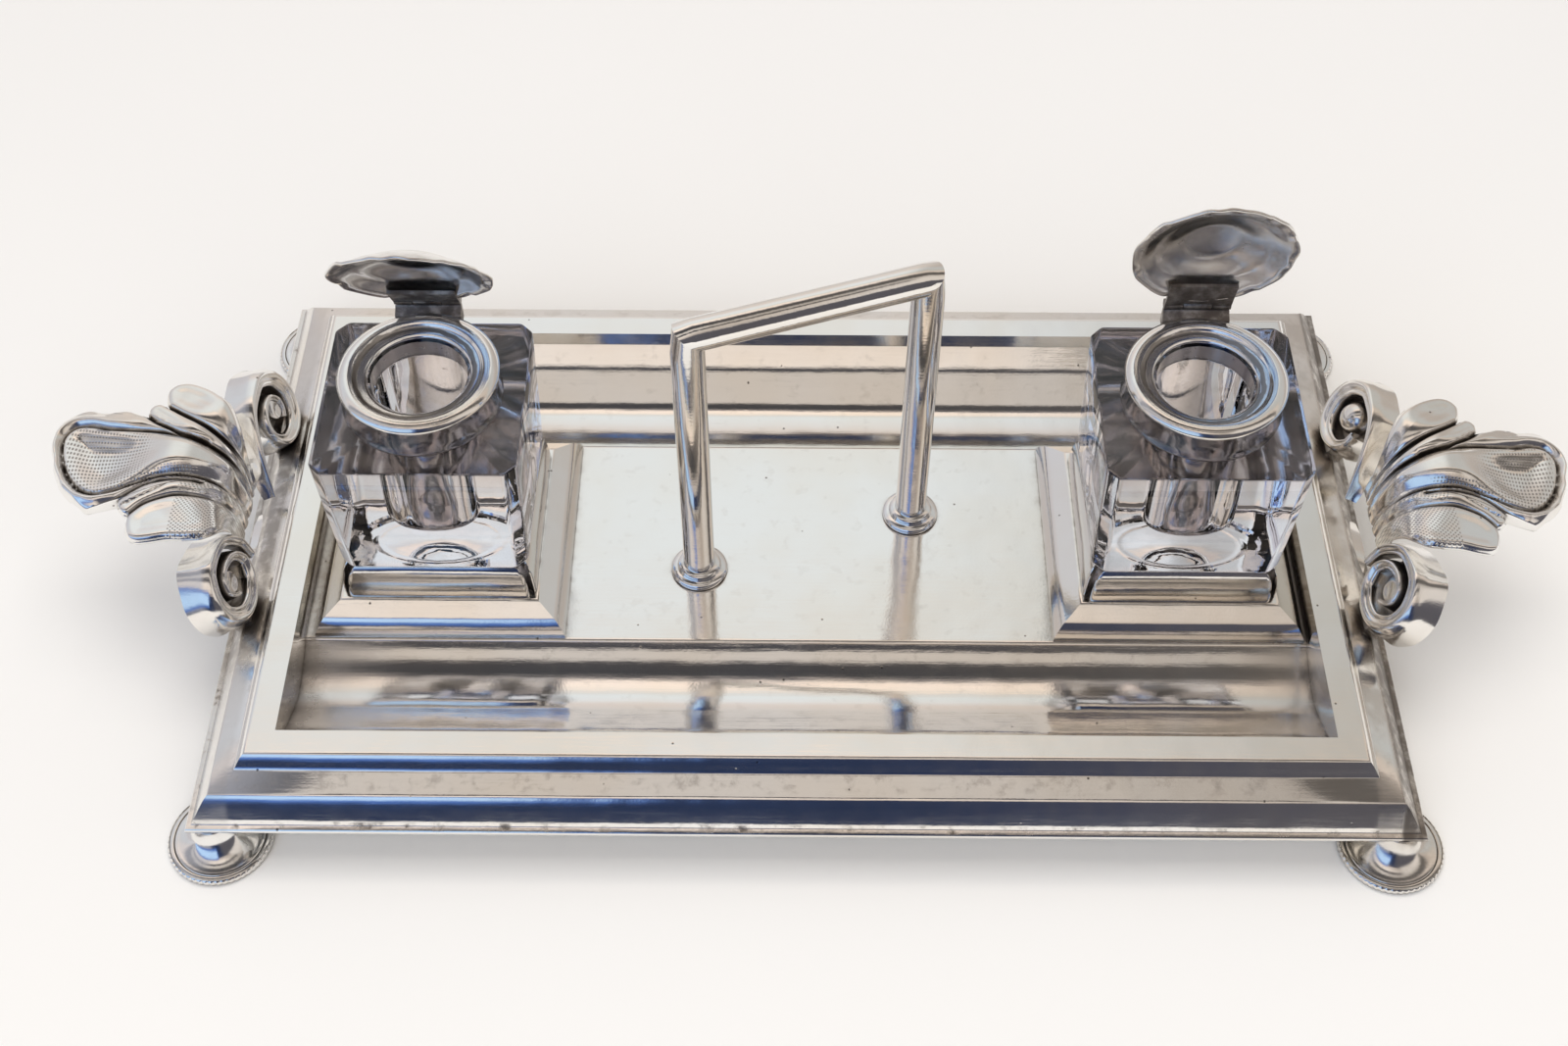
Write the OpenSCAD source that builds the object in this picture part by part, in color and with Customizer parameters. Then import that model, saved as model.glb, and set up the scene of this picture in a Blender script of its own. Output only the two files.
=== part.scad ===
// Desk inkstand: a moulded plated tray on four disc feet, with a square glass ink bottle
// on a plinth at each end, a carry handle between them and a leaf-and-scroll handle at
// each side. Millimetres, Z up, front edge toward -Y, origin on the table under the centre.

/* [Tray border] */
// tray width over the outer lip
tray_w = 300; // [285:1:340]
// tray depth over the outer lip
tray_d = 175; // [168:1:200]
// height of the lip above the table, the height of a foot
foot_h = 12; // [9:0.5:16]
// thickness of the outer lip
lip_t = 2; // [1.5:0.1:3]
// flat ledge between the lip edge and the ovolo
ledge_w = 2.4; // [1.2:0.1:3]
// small upright at the root of the ovolo
ovolo_foot = 0.4; // [0.2:0.1:1]
// width of the ovolo, the outer convex moulding
ovolo_w = 3.6; // [3:0.1:6]
// height of the ovolo
ovolo_h = 5.4; // [3:0.1:6]
// width of the cove above the ovolo
cove_w = 6.5; // [4:0.1:8]
// height of the cove
cove_h = 2.2; // [2:0.1:5]
// width of the bead under the rim
bead_w = 1.5; // [0.8:0.1:2.5]
// height of the bead
bead_h = 3.9; // [2.5:0.1:5]
// flat width of the raised rim
rim_w = 7; // [5:0.1:9]
// rounding of the rim's inner edge
rim_round = 1; // [0.4:0.1:1.8]
// metal thickness of the border
border_t = 1.5; // [1.2:0.1:1.8]
// thickness of the wall between rim and pan
wall_t = 1.2; // [0.8:0.1:1.6]

/* [Pan] */
// drop from the rim to the deck
deck_drop = 9.8; // [8:0.1:10.4]
// depth of the raised deck, front to back
deck_d = 66; // [65:0.5:72]
// metal thickness of the pan
pan_t = 1.2; // [0.8:0.1:1.6]
// small step at the edge of the deck
deck_step = 0.6; // [0.2:0.1:1]
// rise of the pen trough at the rim wall above the deck
trough_rise = 3.6; // [1:0.1:5]
// hollow of the pen trough, measured square to its chord
trough_sag = 5.2; // [4:0.1:6]

/* [Plinths] */
// side of the square plinth at its foot
plinth_w = 64.4; // [60:0.1:65]
// gap between the left plinth and the rim wall
plinth_gap_left = 2.6; // [0.5:0.1:5]
// gap between the right plinth and the rim wall
plinth_gap_right = 0.9; // [0.5:0.1:5]
// upright at the foot of the plinth
plinth_foot = 1; // [0.5:0.1:2]
// width of the plinth's ovolo
plinth_ovolo_w = 2.6; // [2:0.1:3.5]
// height of the plinth's ovolo
plinth_ovolo_h = 3.4; // [2.5:0.1:4.5]
// rise of the plinth's sloping top
plinth_slope_h = 3; // [2:0.1:4]
// metal thickness of the plinth
plinth_t = 1.4; // [1:0.1:2]

/* [Bottle seats] */
// side of the square of seat rails
seat_w = 49.6; // [49:0.1:50.6]
// height of a seat rail
rail_h = 10.6; // [8:0.1:13]
// width of the rail's round outer face
rail_bulge = 2.9; // [2.2:0.1:3.3]
// flat land on top of a rail, under the bottle
rail_land = 1; // [0.8:0.1:1.2]
// open gap between two rails at a corner
rail_gap = 2.4; // [1.4:0.1:3.4]

/* [Bottles] */
// side of the bottle at its shoulder
bottle_w = 49.8; // [48.4:0.1:52]
// narrowing of each side toward the base
bottle_taper = 1.1; // [0.4:0.1:1.4]
// height of the square glass body
bottle_h = 39.2; // [34:0.2:46]
// width of the canted corner faces
bottle_cant = 4.2; // [2.5:0.1:6]
// rounding of the lower edges
bottle_edge = 1.6; // [1:0.1:1.9]
// bevel of the upper edges
bottle_bevel = 0.5; // [0.3:0.1:1]
// depth of the round base that drops between the rails
base_h = 1.5; // [1:0.1:2.5]
// hollow ground into that base, depth
punt_h = 0.9; // [0.5:0.1:1.4]
// hollow ground into that base, radius
punt_r = 15.5; // [12:0.1:18]
// clearance round the base between the rails
base_clear = 0.3; // [0.2:0.05:0.6]
// radius of the round ink well in the glass
well_r = 11.8; // [10:0.1:13]
// thickness of glass under the ink well
well_floor = 7.6; // [5:0.1:12]
// rounding at the bottom of the ink well
well_round = 3.5; // [2:0.1:5]
// radius of the glass neck
neck_r = 15.4; // [14.6:0.1:16]
// height of the glass neck
neck_h = 7.4; // [5.6:0.1:8]

/* [Collars] */
// outer radius of the collar
collar_r = 19.7; // [18.5:0.1:20.6]
// height of the collar
collar_h = 9.8; // [9.2:0.1:11.2]
// rounding of the collar's outer top edge
collar_round = 2.6; // [1.6:0.1:3.2]
// radius where the collar top starts to dip to the mouth
collar_dip_r = 14.6; // [13.8:0.1:15.4]
// depth of that dip
collar_dip = 1; // [0.4:0.1:1.3]
// radius of the open mouth
mouth_r = 12.4; // [11:0.1:13.2]
// clearance between collar and neck
collar_fit = 0.08; // [0.04:0.01:0.15]

/* [Lid hinges] */
// hinge axis behind the collar centre
hinge_back = 22; // [21.8:0.1:23]
// hinge axis above the top of the collar
hinge_rise = 1.4; // [1.3:0.1:2]
// radius of the hinge knuckles
knuckle_r = 1.3; // [1.2:0.05:1.4]
// length of the hinge over all knuckles
hinge_len = 16.4; // [14:0.2:18]
// length of the fixed middle knuckle
knuckle_len = 7; // [5:0.2:8]
// end play between knuckles
knuckle_play = 0.2; // [0.1:0.05:0.4]
// radius of the hinge pin
pin_r = 0.6; // [0.5:0.05:0.7]
// running clearance round the pin
pin_fit = 0.05; // [0.02:0.01:0.08]
// thickness of the hinge plates
leaf_plate_t = 0.9; // [0.7:0.05:1.1]
// length of the plate soldered inside the lid
lid_plate_len = 8; // [6:0.1:9]

/* [Lids] */
// radius of the lid rim
lid_r = 19.7; // [18.8:0.1:20.4]
// metal thickness of the lid
lid_t = 0.9; // [0.7:0.05:1.1]
// gap between the closed lid and the collar
lid_gap = 0.4; // [0.3:0.05:0.6]
// flat width of the lid rim
lid_rim_w = 1.6; // [1:0.1:2.4]
// radius of the ring step in the lid
lid_step_r = 12.8; // [11:0.1:14]
// rise of the lid from rim to ring step
lid_step_h = 2.4; // [1.8:0.1:3.6]
// rise of the crown above the ring step
lid_crown_h = 2.8; // [2:0.1:4.4]
// angle the left lid stands open
open_left = 59; // [0:1:100]
// angle the right lid stands open
open_right = 77; // [0:1:100]

/* [Carry handle] */
// diameter of the carry handle rod
rod_d = 8.2; // [6:0.1:10]
// distance between the two legs
leg_pitch = 59.4; // [45:0.1:62]
// height of the top bar's centre line above the deck
carry_h = 88.8; // [70:0.2:110]
// turn of the carry handle seen from above
carry_turn = 18.7; // [0:0.1:25]
// radius of the flange on the deck
flange_r = 7.4; // [6.6:0.1:9]
// thickness of the flange
flange_t = 1.8; // [1:0.1:3]
// radius of the ring above the flange
flange_ring_r = 5.6; // [5.4:0.1:6.4]
// height of that ring
flange_ring_h = 1.7; // [1:0.1:3]
// clearance between rod and flange
rod_fit = 0.05; // [0.02:0.01:0.1]

/* [Feet] */
// radius of a foot disc
foot_r = 13.1; // [11:0.1:14]
// inset of the foot's centre from the lip edge
foot_inset = 5.2; // [4.6:0.1:6]
// thickness of the roped disc edge
foot_edge = 1.9; // [1.2:0.1:2.6]
// width of the flat band inside the edge
foot_band = 1.8; // [1:0.1:2.6]
// depth of the groove line round the cone
foot_groove = 0.4; // [0.2:0.05:0.6]
// radius of the foot's waist
foot_waist_r = 3.4; // [2.6:0.1:4.4]
// radius of the foot's top pad
foot_top_r = 5; // [4.6:0.1:6]
// thickness of the foot's top pad
foot_pad = 1.2; // [0.8:0.1:2]

/* [Side handles] */
// half distance between the two volutes of a handle
volute_y = 28.6; // [26:0.2:32]
// distance that both volutes of a handle sit back from the leaf's middle
volute_back = 2.8; // [0:0.1:3.5]
// inset of the volute centres from the lip edge
volute_inset = 4.7; // [3.5:0.1:6]
// height of the volute centres above the lip
volute_rise = 20; // [19:0.1:22]
// outer radius of a volute
volute_r = 11.8; // [11:0.1:12.6]
// width of the scroll band
volute_t = 8.8; // [7:0.1:10]
// thickness of the scroll band
band_t = 2.8; // [2:0.1:3.2]
// radius of the volute eye
eye_r = 3.9; // [3:0.1:4.4]
// backward lean of the volute faces
volute_lean = 23.5; // [15:0.5:30]
// inset of the leaf's root from the lip edge
leaf_inset = 4; // [3:0.1:5]
// outward reach of the leaf from its root
leaf_reach = 45; // [38:0.5:52]
// rise of the leaf above its root
leaf_rise = 25; // [20:0.5:30]
// reach over which the leaf turns from upright to level
leaf_turn = 16; // [12:0.5:19]
// droop of the leaf's tip below its highest line
leaf_droop = 1.5; // [0:0.1:4]
// thickness of the leaf
leaf_t = 2.4; // [1.8:0.1:3]
// half width of the leaf's middle lobe
lobe_half = 15.6; // [12:0.1:18]
// half width of the middle lobe at its root
lobe_root = 6.6; // [5:0.1:9]
// outward reach of the thin lobes
thin_reach = 29.7; // [26:0.1:33]
// half width of the thin lobes
thin_half = 5.3; // [4:0.1:7]
// half width of the thin lobes at their root
thin_root = 3.7; // [3:0.1:4.5]
// turn of the thin lobes from the middle lobe
thin_turn = 34; // [30:1:38]
// drop of the thin lobes below the other lobes
thin_drop = 0.6; // [0.2:0.1:1.2]
// outward reach of the outer lobes
outer_reach = 30.6; // [27:0.1:34]
// half width of the outer lobes
outer_half = 7.8; // [6:0.1:10]
// half width of the outer lobes at their root
outer_root = 4.4; // [3.6:0.1:5.5]
// turn of the outer lobes from the middle lobe
outer_turn = 53; // [48:1:58]
// height of the leaf's root above the foot
root_rise = 12; // [10:0.5:14]
// width of the block that joins leaf and scrolls to the border
root_block_w = 17.2; // [12:0.2:20]
// height of that block
root_block_h = 10.6; // [8:0.2:12]
// thickness of the plate behind a volute
volute_plate = 2.5; // [1.5:0.1:3.5]
// outward lean of the left handle
lean_left = 0; // [-3:0.5:3]
// outward lean of the right handle
lean_right = 6; // [0:0.5:8]

/* [Hidden] */
$fn = 96;
arc_n = 10;
eps = 0.01;
over = 2;

lip_top = foot_h + lip_t;
ovolo_z = lip_top + ovolo_foot;
cove_z = ovolo_z + ovolo_h;
bead_z = cove_z + cove_h;
rim_z = bead_z + bead_h;
cove_in = ledge_w + ovolo_w;
bead_in = cove_in + cove_w;
rim_in = bead_in + bead_w;
well_in = rim_in + rim_w;
well_w = tray_w - 2 * well_in;
well_d = tray_d - 2 * well_in;

deck_z = rim_z - deck_drop;
trough_y0 = deck_d / 2;
trough_y1 = well_d / 2;
trough_z0 = deck_z - deck_step;
trough_z1 = deck_z + trough_rise;

plinth_in = (plinth_w - seat_w) / 2;
plinth_oz = deck_z + plinth_foot;
plinth_sz = plinth_oz + plinth_ovolo_h;
plinth_z = plinth_sz + plinth_slope_h;
left_x = -(well_w / 2 - plinth_gap_left - plinth_w / 2);
right_x = well_w / 2 - plinth_gap_right - plinth_w / 2;

rail_t = rail_bulge + rail_land;
rail_z = plinth_z + rail_h;
shoulder_z = rail_z + bottle_h;
base_r = seat_w / 2 - rail_t - base_clear;
neck_z = shoulder_z + neck_h;
collar_z = shoulder_z + collar_h;
web_z = neck_z + collar_fit;

hinge_z = collar_z + hinge_rise;
lid_z = collar_z + lid_gap;
lid_plate_y = hinge_back - knuckle_r - lid_plate_len;

rod_r = rod_d / 2;
bar_z = deck_z + carry_h;

root_x = tray_w / 2 - leaf_inset;
root_z = foot_h + root_rise;
leaf_top = root_z + leaf_rise;

plated = [0.82, 0.8, 0.76];
dark_plated = [0.62, 0.6, 0.57];
glass = [0.86, 0.88, 0.92, 0.4];

// ---- helpers ----

// quarter curve from an upright start to a level end: points [inset, height]
function bulge(in0, z0, w, h) = [for (i = [0 : arc_n]) let (a = 90 * i / arc_n)
    [in0 + w * (1 - cos(a)), z0 + h * sin(a)]];

// quarter curve from a level start to an upright end
function hollow(in0, z0, w, h) = [for (i = [0 : arc_n]) let (a = 90 * i / arc_n)
    [in0 + w * sin(a), z0 + h * (1 - cos(a))]];

function both(half, prof) = concat(
    [for (p = prof) [half - p[0], p[1]]],
    [for (i = [len(prof) - 1 : -1 : 0]) [prof[i][0] - half, prof[i][1]]]);

// block whose four mitred faces follow prof: points [inset, height] from bottom to top
module mitred(w, d, prof) {
    intersection() {
        rotate([90, 0, 0])
            linear_extrude(height = d + over, center = true) polygon(both(w / 2, prof));
        rotate([90, 0, 90])
            linear_extrude(height = w + over, center = true) polygon(both(d / 2, prof));
    }
}

module box(w, d, z0, z1) {
    translate([-w / 2, -d / 2, z0]) cube([w, d, z1 - z0]);
}

// ---- tray border ----

mould = concat(
    bulge(ledge_w, ovolo_z, ovolo_w, ovolo_h),
    [for (i = [1 : arc_n]) hollow(cove_in, cove_z, cove_w, cove_h)[i]],
    [for (i = [1 : arc_n]) bulge(bead_in, bead_z, bead_w, bead_h)[i]]);

border_prof = concat([[0, foot_h], [0, lip_top], [ledge_w, lip_top]], mould);
under_prof = concat([[ledge_w + border_t, foot_h - over]],
    [for (p = mould) [p[0] + border_t, p[1] - border_t]]);
wall_prof = concat([[0, foot_h - over], [0, rim_z - rim_round]],
    [for (i = [1 : arc_n]) let (a = 90 * i / arc_n)
        [-rim_round * (1 - cos(a)), rim_z - rim_round * (1 - sin(a))]],
    [[-rim_round, rim_z + over]]);

module border_block() { mitred(tray_w, tray_d, border_prof); }

module tray_border() {
    color(plated) difference() {
        border_block();
        difference() {
            mitred(tray_w, tray_d, under_prof);
            box(well_w + 2 * wall_t, well_d + 2 * wall_t, 0, rim_z + over);
        }
        mitred(well_w, well_d, wall_prof);
    }
}

// ---- pan with deck and two pen troughs ----

trough_c = norm([trough_y1 - trough_y0, trough_z1 - trough_z0]);
trough_r = trough_c * trough_c / (8 * trough_sag) + trough_sag / 2;
trough_dir = [trough_y1 - trough_y0, trough_z1 - trough_z0] / trough_c;
trough_mid = [trough_y0 + trough_y1, trough_z0 + trough_z1] / 2
    + [-trough_dir[1], trough_dir[0]] * (trough_r - trough_sag);
trough_a = asin(trough_c / 2 / trough_r);
trough_dir_a = atan2(trough_dir[1], trough_dir[0]);
trough_n = 24;
trough_line = [for (i = [0 : trough_n])
    let (a = trough_dir_a - 90 - trough_a + 2 * trough_a * i / trough_n)
    trough_mid + trough_r * [cos(a), sin(a)]];
pan_half = concat([[trough_y0, deck_z]], trough_line);
pan_top = concat(
    [for (i = [len(pan_half) - 1 : -1 : 0]) [-pan_half[i][0], pan_half[i][1]]], pan_half);

module tray_pan() {
    color(plated) rotate([90, 0, 90])
        linear_extrude(height = well_w, center = true)
            polygon(concat(pan_top,
                [for (i = [len(pan_top) - 1 : -1 : 0]) pan_top[i] - [0, pan_t]]));
}

// ---- plinths and seat rails ----

plinth_line = concat(
    bulge(0, plinth_oz, plinth_ovolo_w, plinth_ovolo_h),
    [[plinth_in, plinth_z]]);

module plinth_at(x) {
    color(plated) translate([x, 0, 0]) difference() {
        mitred(plinth_w, plinth_w, concat([[0, deck_z]], plinth_line));
        mitred(plinth_w, plinth_w, concat([[plinth_t, deck_z - over]],
            [for (p = plinth_line) [p[0] + plinth_t, p[1] - plinth_t]]));
    }
}
module plinth_left() { plinth_at(left_x); }
module plinth_right() { plinth_at(right_x); }

module rail_at(x, turn) {
    s = seat_w / 2;
    g = rail_gap / sqrt(2);
    color(plated) translate([x, 0, 0]) rotate([0, 0, turn]) intersection() {
        rotate([90, 0, 90])
            linear_extrude(height = seat_w, center = true)
                polygon(concat([[rail_t - s, plinth_z]],
                    [for (p = bulge(0, plinth_z, rail_bulge, rail_h)) [p[0] - s, p[1]]],
                    [[rail_t - s, rail_z]]));
        translate([0, 0, plinth_z - over])
            linear_extrude(height = rail_h + 2 * over)
                polygon([[g - s, -s], [s - g, -s], [s - g - rail_t, rail_t - s],
                    [rail_t + g - s, rail_t - s]]);
    }
}
module rail_left_front() { rail_at(left_x, 0); }
module rail_left_inner() { rail_at(left_x, 90); }
module rail_left_back() { rail_at(left_x, 180); }
module rail_left_outer() { rail_at(left_x, 270); }
module rail_right_front() { rail_at(right_x, 0); }
module rail_right_outer() { rail_at(right_x, 90); }
module rail_right_back() { rail_at(right_x, 180); }
module rail_right_inner() { rail_at(right_x, 270); }

// ---- glass bottles ----

bottle_prof = concat(
    [for (i = [0 : arc_n]) let (a = 90 * i / arc_n)
        [bottle_taper + bottle_edge * (1 - sin(a)), rail_z + bottle_edge * (1 - cos(a))]],
    [[0, shoulder_z - bottle_bevel], [bottle_bevel, shoulder_z]]);
cant_w = bottle_w * sqrt(2) - bottle_cant;

module bottle_at(x) {
    color(glass) translate([x, 0, 0]) difference() {
        union() {
            intersection() {
                mitred(bottle_w, bottle_w, bottle_prof);
                rotate([0, 0, 45]) mitred(cant_w, cant_w, bottle_prof);
            }
            translate([0, 0, shoulder_z - over]) cylinder(r = neck_r, h = neck_h + over);
            translate([0, 0, rail_z - base_h]) cylinder(r = base_r, h = base_h + over);
        }
        translate([0, 0, rail_z - base_h - eps]) cylinder(r = punt_r, h = punt_h + eps);
        rotate_extrude() polygon(concat(
            [[0, rail_z + well_floor]],
            [for (i = [0 : arc_n]) let (a = 90 * i / arc_n)
                [well_r - well_round * (1 - sin(a)),
                 rail_z + well_floor + well_round * (1 - cos(a))]],
            [[well_r, neck_z + over], [0, neck_z + over]]));
    }
}
module bottle_left() { bottle_at(left_x); }
module bottle_right() { bottle_at(right_x); }

// ---- collars ----

module collar_at(x) {
    color(plated) translate([x, 0, 0]) rotate_extrude() polygon(concat(
        [[neck_r + collar_fit, shoulder_z], [collar_r, shoulder_z]],
        [for (i = [0 : arc_n]) let (a = 90 * i / arc_n)
            [collar_r - collar_round * (1 - cos(a)), collar_z - collar_round * (1 - sin(a))]],
        [[collar_dip_r, collar_z]],
        [for (i = [1 : arc_n]) let (a = 90 * i / arc_n)
            [collar_dip_r - (collar_dip_r - mouth_r) * sin(a), collar_z - collar_dip * (1 - cos(a))]],
        [[mouth_r, web_z], [neck_r + collar_fit, web_z]]));
}
module collar_left() { collar_at(left_x); }
module collar_right() { collar_at(right_x); }

// ---- hinges ----

module tube(r, bore, x0, x1) {
    translate([x0, 0, 0]) rotate([0, 90, 0]) difference() {
        cylinder(r = r, h = x1 - x0);
        translate([0, 0, -over]) cylinder(r = bore, h = x1 - x0 + 2 * over);
    }
}

// plate standing on the back of the collar, with the middle knuckle
module hinge_plate_at(x) {
    color(dark_plated) translate([x, 0, 0]) difference() {
        union() {
            translate([0, hinge_back, hinge_z])
                tube(knuckle_r, pin_r, -knuckle_len / 2, knuckle_len / 2);
            translate([-knuckle_len / 2, hinge_back - leaf_plate_t / 2, collar_z - collar_h / 2])
                difference() {
                    cube([knuckle_len, leaf_plate_t, collar_h / 2 + hinge_rise]);
                    translate([-over, leaf_plate_t / 2, collar_h / 2 + hinge_rise])
                        rotate([0, 90, 0]) cylinder(r = pin_r, h = knuckle_len + 2 * over);
                }
            translate([-hinge_len / 2, collar_r - over, collar_z - collar_h / 2])
                cube([hinge_len, hinge_back + leaf_plate_t / 2 - collar_r + over,
                    collar_h / 2 - collar_round]);
        }
        translate([0, 0, shoulder_z]) cylinder(r = collar_r, h = collar_h);
    }
}
module hinge_plate_left() { hinge_plate_at(left_x); }
module hinge_plate_right() { hinge_plate_at(right_x); }

module hinge_pin_at(x) {
    color(dark_plated) translate([x - hinge_len / 2, hinge_back, hinge_z])
        rotate([0, 90, 0]) cylinder(r = pin_r, h = hinge_len);
}
module hinge_pin_left() { hinge_pin_at(left_x); }
module hinge_pin_right() { hinge_pin_at(right_x); }

// ---- lids ----

module opened(x, angle) {
    translate([x, hinge_back, hinge_z]) rotate([-angle, 0, 0])
        translate([0, -hinge_back, -hinge_z]) children();
}

lid_line = concat(
    [[lid_r, 0], [lid_r - lid_rim_w, 0]],
    [for (i = [1 : arc_n]) let (a = 90 * i / arc_n)
        [lid_r - lid_rim_w - (lid_r - lid_rim_w - lid_step_r) * (1 - cos(a)), lid_step_h * sin(a)]],
    [for (i = [1 : arc_n]) let (a = 90 * i / arc_n)
        [lid_step_r * cos(a), lid_step_h + lid_crown_h * sin(a)]]);

module lid_shape() {
    translate([0, 0, lid_z]) rotate_extrude() polygon(concat(
        lid_line,
        [for (i = [len(lid_line) - 1 : -1 : 0]) lid_line[i] + [0, lid_t]]));
}

module lid_at(x, angle) {
    color(plated) opened(x, angle) difference() {
        lid_shape();
        // notch in the rim that takes the hinge plate
        translate([-hinge_len / 2, lid_plate_y, lid_z - over])
            cube([hinge_len, lid_r - lid_plate_y + over, leaf_plate_t + over]);
    }
}
module lid_left() { lid_at(left_x, open_left); }
module lid_right() { lid_at(right_x, open_right); }

// plate let into the lid's back edge, with the two outer knuckles
module lid_plate_at(x, angle) {
    k0 = knuckle_len / 2 + knuckle_play;
    bore = pin_r + pin_fit;
    low = lid_z - hinge_z;
    front = lid_plate_y - hinge_back;
    free = -knuckle_r - knuckle_play;
    color(dark_plated) opened(x, angle) translate([0, hinge_back, hinge_z]) difference() {
        union() {
            translate([-hinge_len / 2, front, low]) cube([hinge_len, free - front, leaf_plate_t]);
            for (s = [-1, 1]) {
                tube(knuckle_r, bore, s > 0 ? k0 : -hinge_len / 2, s > 0 ? hinge_len / 2 : -k0);
                translate([s > 0 ? k0 : -hinge_len / 2, free - over, low])
                    cube([hinge_len / 2 - k0, over - free, leaf_plate_t]);
            }
        }
        rotate([0, 90, 0]) cylinder(r = bore, h = hinge_len + over, center = true);
    }
}
module lid_plate_left() { lid_plate_at(left_x, open_left); }
module lid_plate_right() { lid_plate_at(right_x, open_right); }

// ---- carry handle ----

// half plane under (side < 0) or over the mitre line of the corner at u
module mitre_part(u, side) {
    k = side * carry_h * 2;
    m = u < 0 ? 1 : -1;
    translate([u, 0, bar_z]) rotate([90, 0, 0])
        linear_extrude(height = rod_d * 2, center = true)
            polygon([[-m * k, k], [m * k, -k], [m * k, k]]);
}

module carry_handle() {
    u = leg_pitch / 2;
    color(plated) rotate([0, 0, carry_turn]) {
        for (s = [-1, 1]) intersection() {
            translate([s * u, 0, deck_z]) cylinder(r = rod_r, h = carry_h + rod_d);
            mitre_part(s * u, -1);
        }
        intersection() {
            translate([-u - rod_d, 0, bar_z]) rotate([0, 90, 0])
                cylinder(r = rod_r, h = leg_pitch + 2 * rod_d);
            mitre_part(-u, 1);
            mitre_part(u, 1);
        }
    }
}

module flange_at(s) {
    color(plated) rotate([0, 0, carry_turn]) translate([s * leg_pitch / 2, 0, deck_z])
        rotate_extrude() {
            h = flange_t + flange_ring_h;
            b = rod_r + rod_fit;
            polygon(concat([[b, 0], [flange_r, 0]],
                [for (i = [0 : arc_n]) let (a = 90 * i / arc_n)
                    [flange_r - flange_t / 2 * (1 - cos(a)), flange_t / 2 * (1 + sin(a))]],
                [[flange_ring_r, flange_t], [flange_ring_r, h], [b, h]]));
        }
}
module flange_left() { flange_at(-1); }
module flange_right() { flange_at(1); }

// ---- feet ----

foot_cone_r = foot_r - foot_band;
foot_cone_h = foot_h - foot_pad - foot_edge;

module foot_at(sx, sy) {
    color(dark_plated)
        translate([sx * (tray_w / 2 - foot_inset), sy * (tray_d / 2 - foot_inset), 0])
            rotate_extrude() polygon(concat(
                [[0, 0], [foot_r - foot_edge / 4, 0], [foot_r, foot_edge / 4],
                 [foot_r, foot_edge * 3 / 4], [foot_r - foot_edge / 4, foot_edge],
                 [foot_cone_r + foot_groove, foot_edge], [foot_cone_r, foot_edge - foot_groove]],
                [for (i = [0 : arc_n]) let (a = 90 * i / arc_n)
                    [foot_waist_r + (foot_cone_r - foot_groove - foot_waist_r) * (1 - sin(a)),
                     foot_edge + foot_cone_h * (1 - cos(a))]],
                [[foot_top_r, foot_h - foot_pad], [foot_top_r, foot_h], [0, foot_h]]));
}
module foot_front_left() { foot_at(-1, -1); }
module foot_front_right() { foot_at(1, -1); }
module foot_back_left() { foot_at(-1, 1); }
module foot_back_right() { foot_at(1, 1); }

// ---- side handles: drawn on the right, mirrored for the left ----

spiral_turn = 430;
spiral_n = 36;
spiral_start = 205;
spiral_gap = 0.6; // gap left round the eye, in band thicknesses
spiral_thin = 0.35; // loss of band thickness over the whole spiral
tip_round = 0.62; // length of a lobe's round end, in half widths
tail_t = 0.8; // depth of the band's tail, in scroll widths
lug_foot = 1.45; // reach of the lugs below a volute's centre, in volute radii
function spiral_r(t) = volute_r - (volute_r - eye_r - band_t * spiral_gap) * t;
function spiral_w(t) = band_t * (1 - spiral_thin * t);
function spiral_pt(t, r) = let (a = spiral_start - spiral_turn * t) [r * cos(a), r * sin(a)];

module scroll_2d() {
    polygon(concat(
        [for (i = [0 : spiral_n]) let (t = i / spiral_n) spiral_pt(t, spiral_r(t))],
        [for (i = [spiral_n : -1 : 0]) let (t = i / spiral_n)
            spiral_pt(t, spiral_r(t) - spiral_w(t))]));
}

// scroll plane: x along the tray's depth, y up the leaning face, z toward the tray's middle
module scroll_frame() {
    translate([tray_w / 2 - volute_inset, 0, foot_h + volute_rise])
        rotate([0, volute_lean, 0]) rotate([90, 0, -90]) children();
}

// outline of the band's tail: shares of volute_y less shares of volute_r, then the height
tail_line = [[1, 1, 0.25], [1, 0.76, 0.1], [1, 0.81, -0.45], [0.32, 0, -1.05],
    [0.1, 0, -0.95], [0.3, 0, -0.62], [0.48, 0, -0.28]];

module volute() {
    translate([volute_y, 0, -volute_t]) {
        linear_extrude(height = volute_t) scroll_2d();
        cylinder(r = volute_r - band_t / 2, h = volute_plate);
        cylinder(r = eye_r, h = volute_t - band_t / 4);
        // lug that stands on the border
        translate([-volute_r / 3, -volute_r * lug_foot, volute_plate / 2])
            cube([volute_r * 2 / 3, volute_r * lug_foot / 2, volute_t - volute_plate]);
    }
    // tapering tail of the band down to the leaf's root
    translate([0, 0, -volute_t])
        linear_extrude(height = volute_t * tail_t)
            polygon([for (p = tail_line) [p[0] * volute_y - p[1] * volute_r, p[2] * volute_r]]);
}

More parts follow.
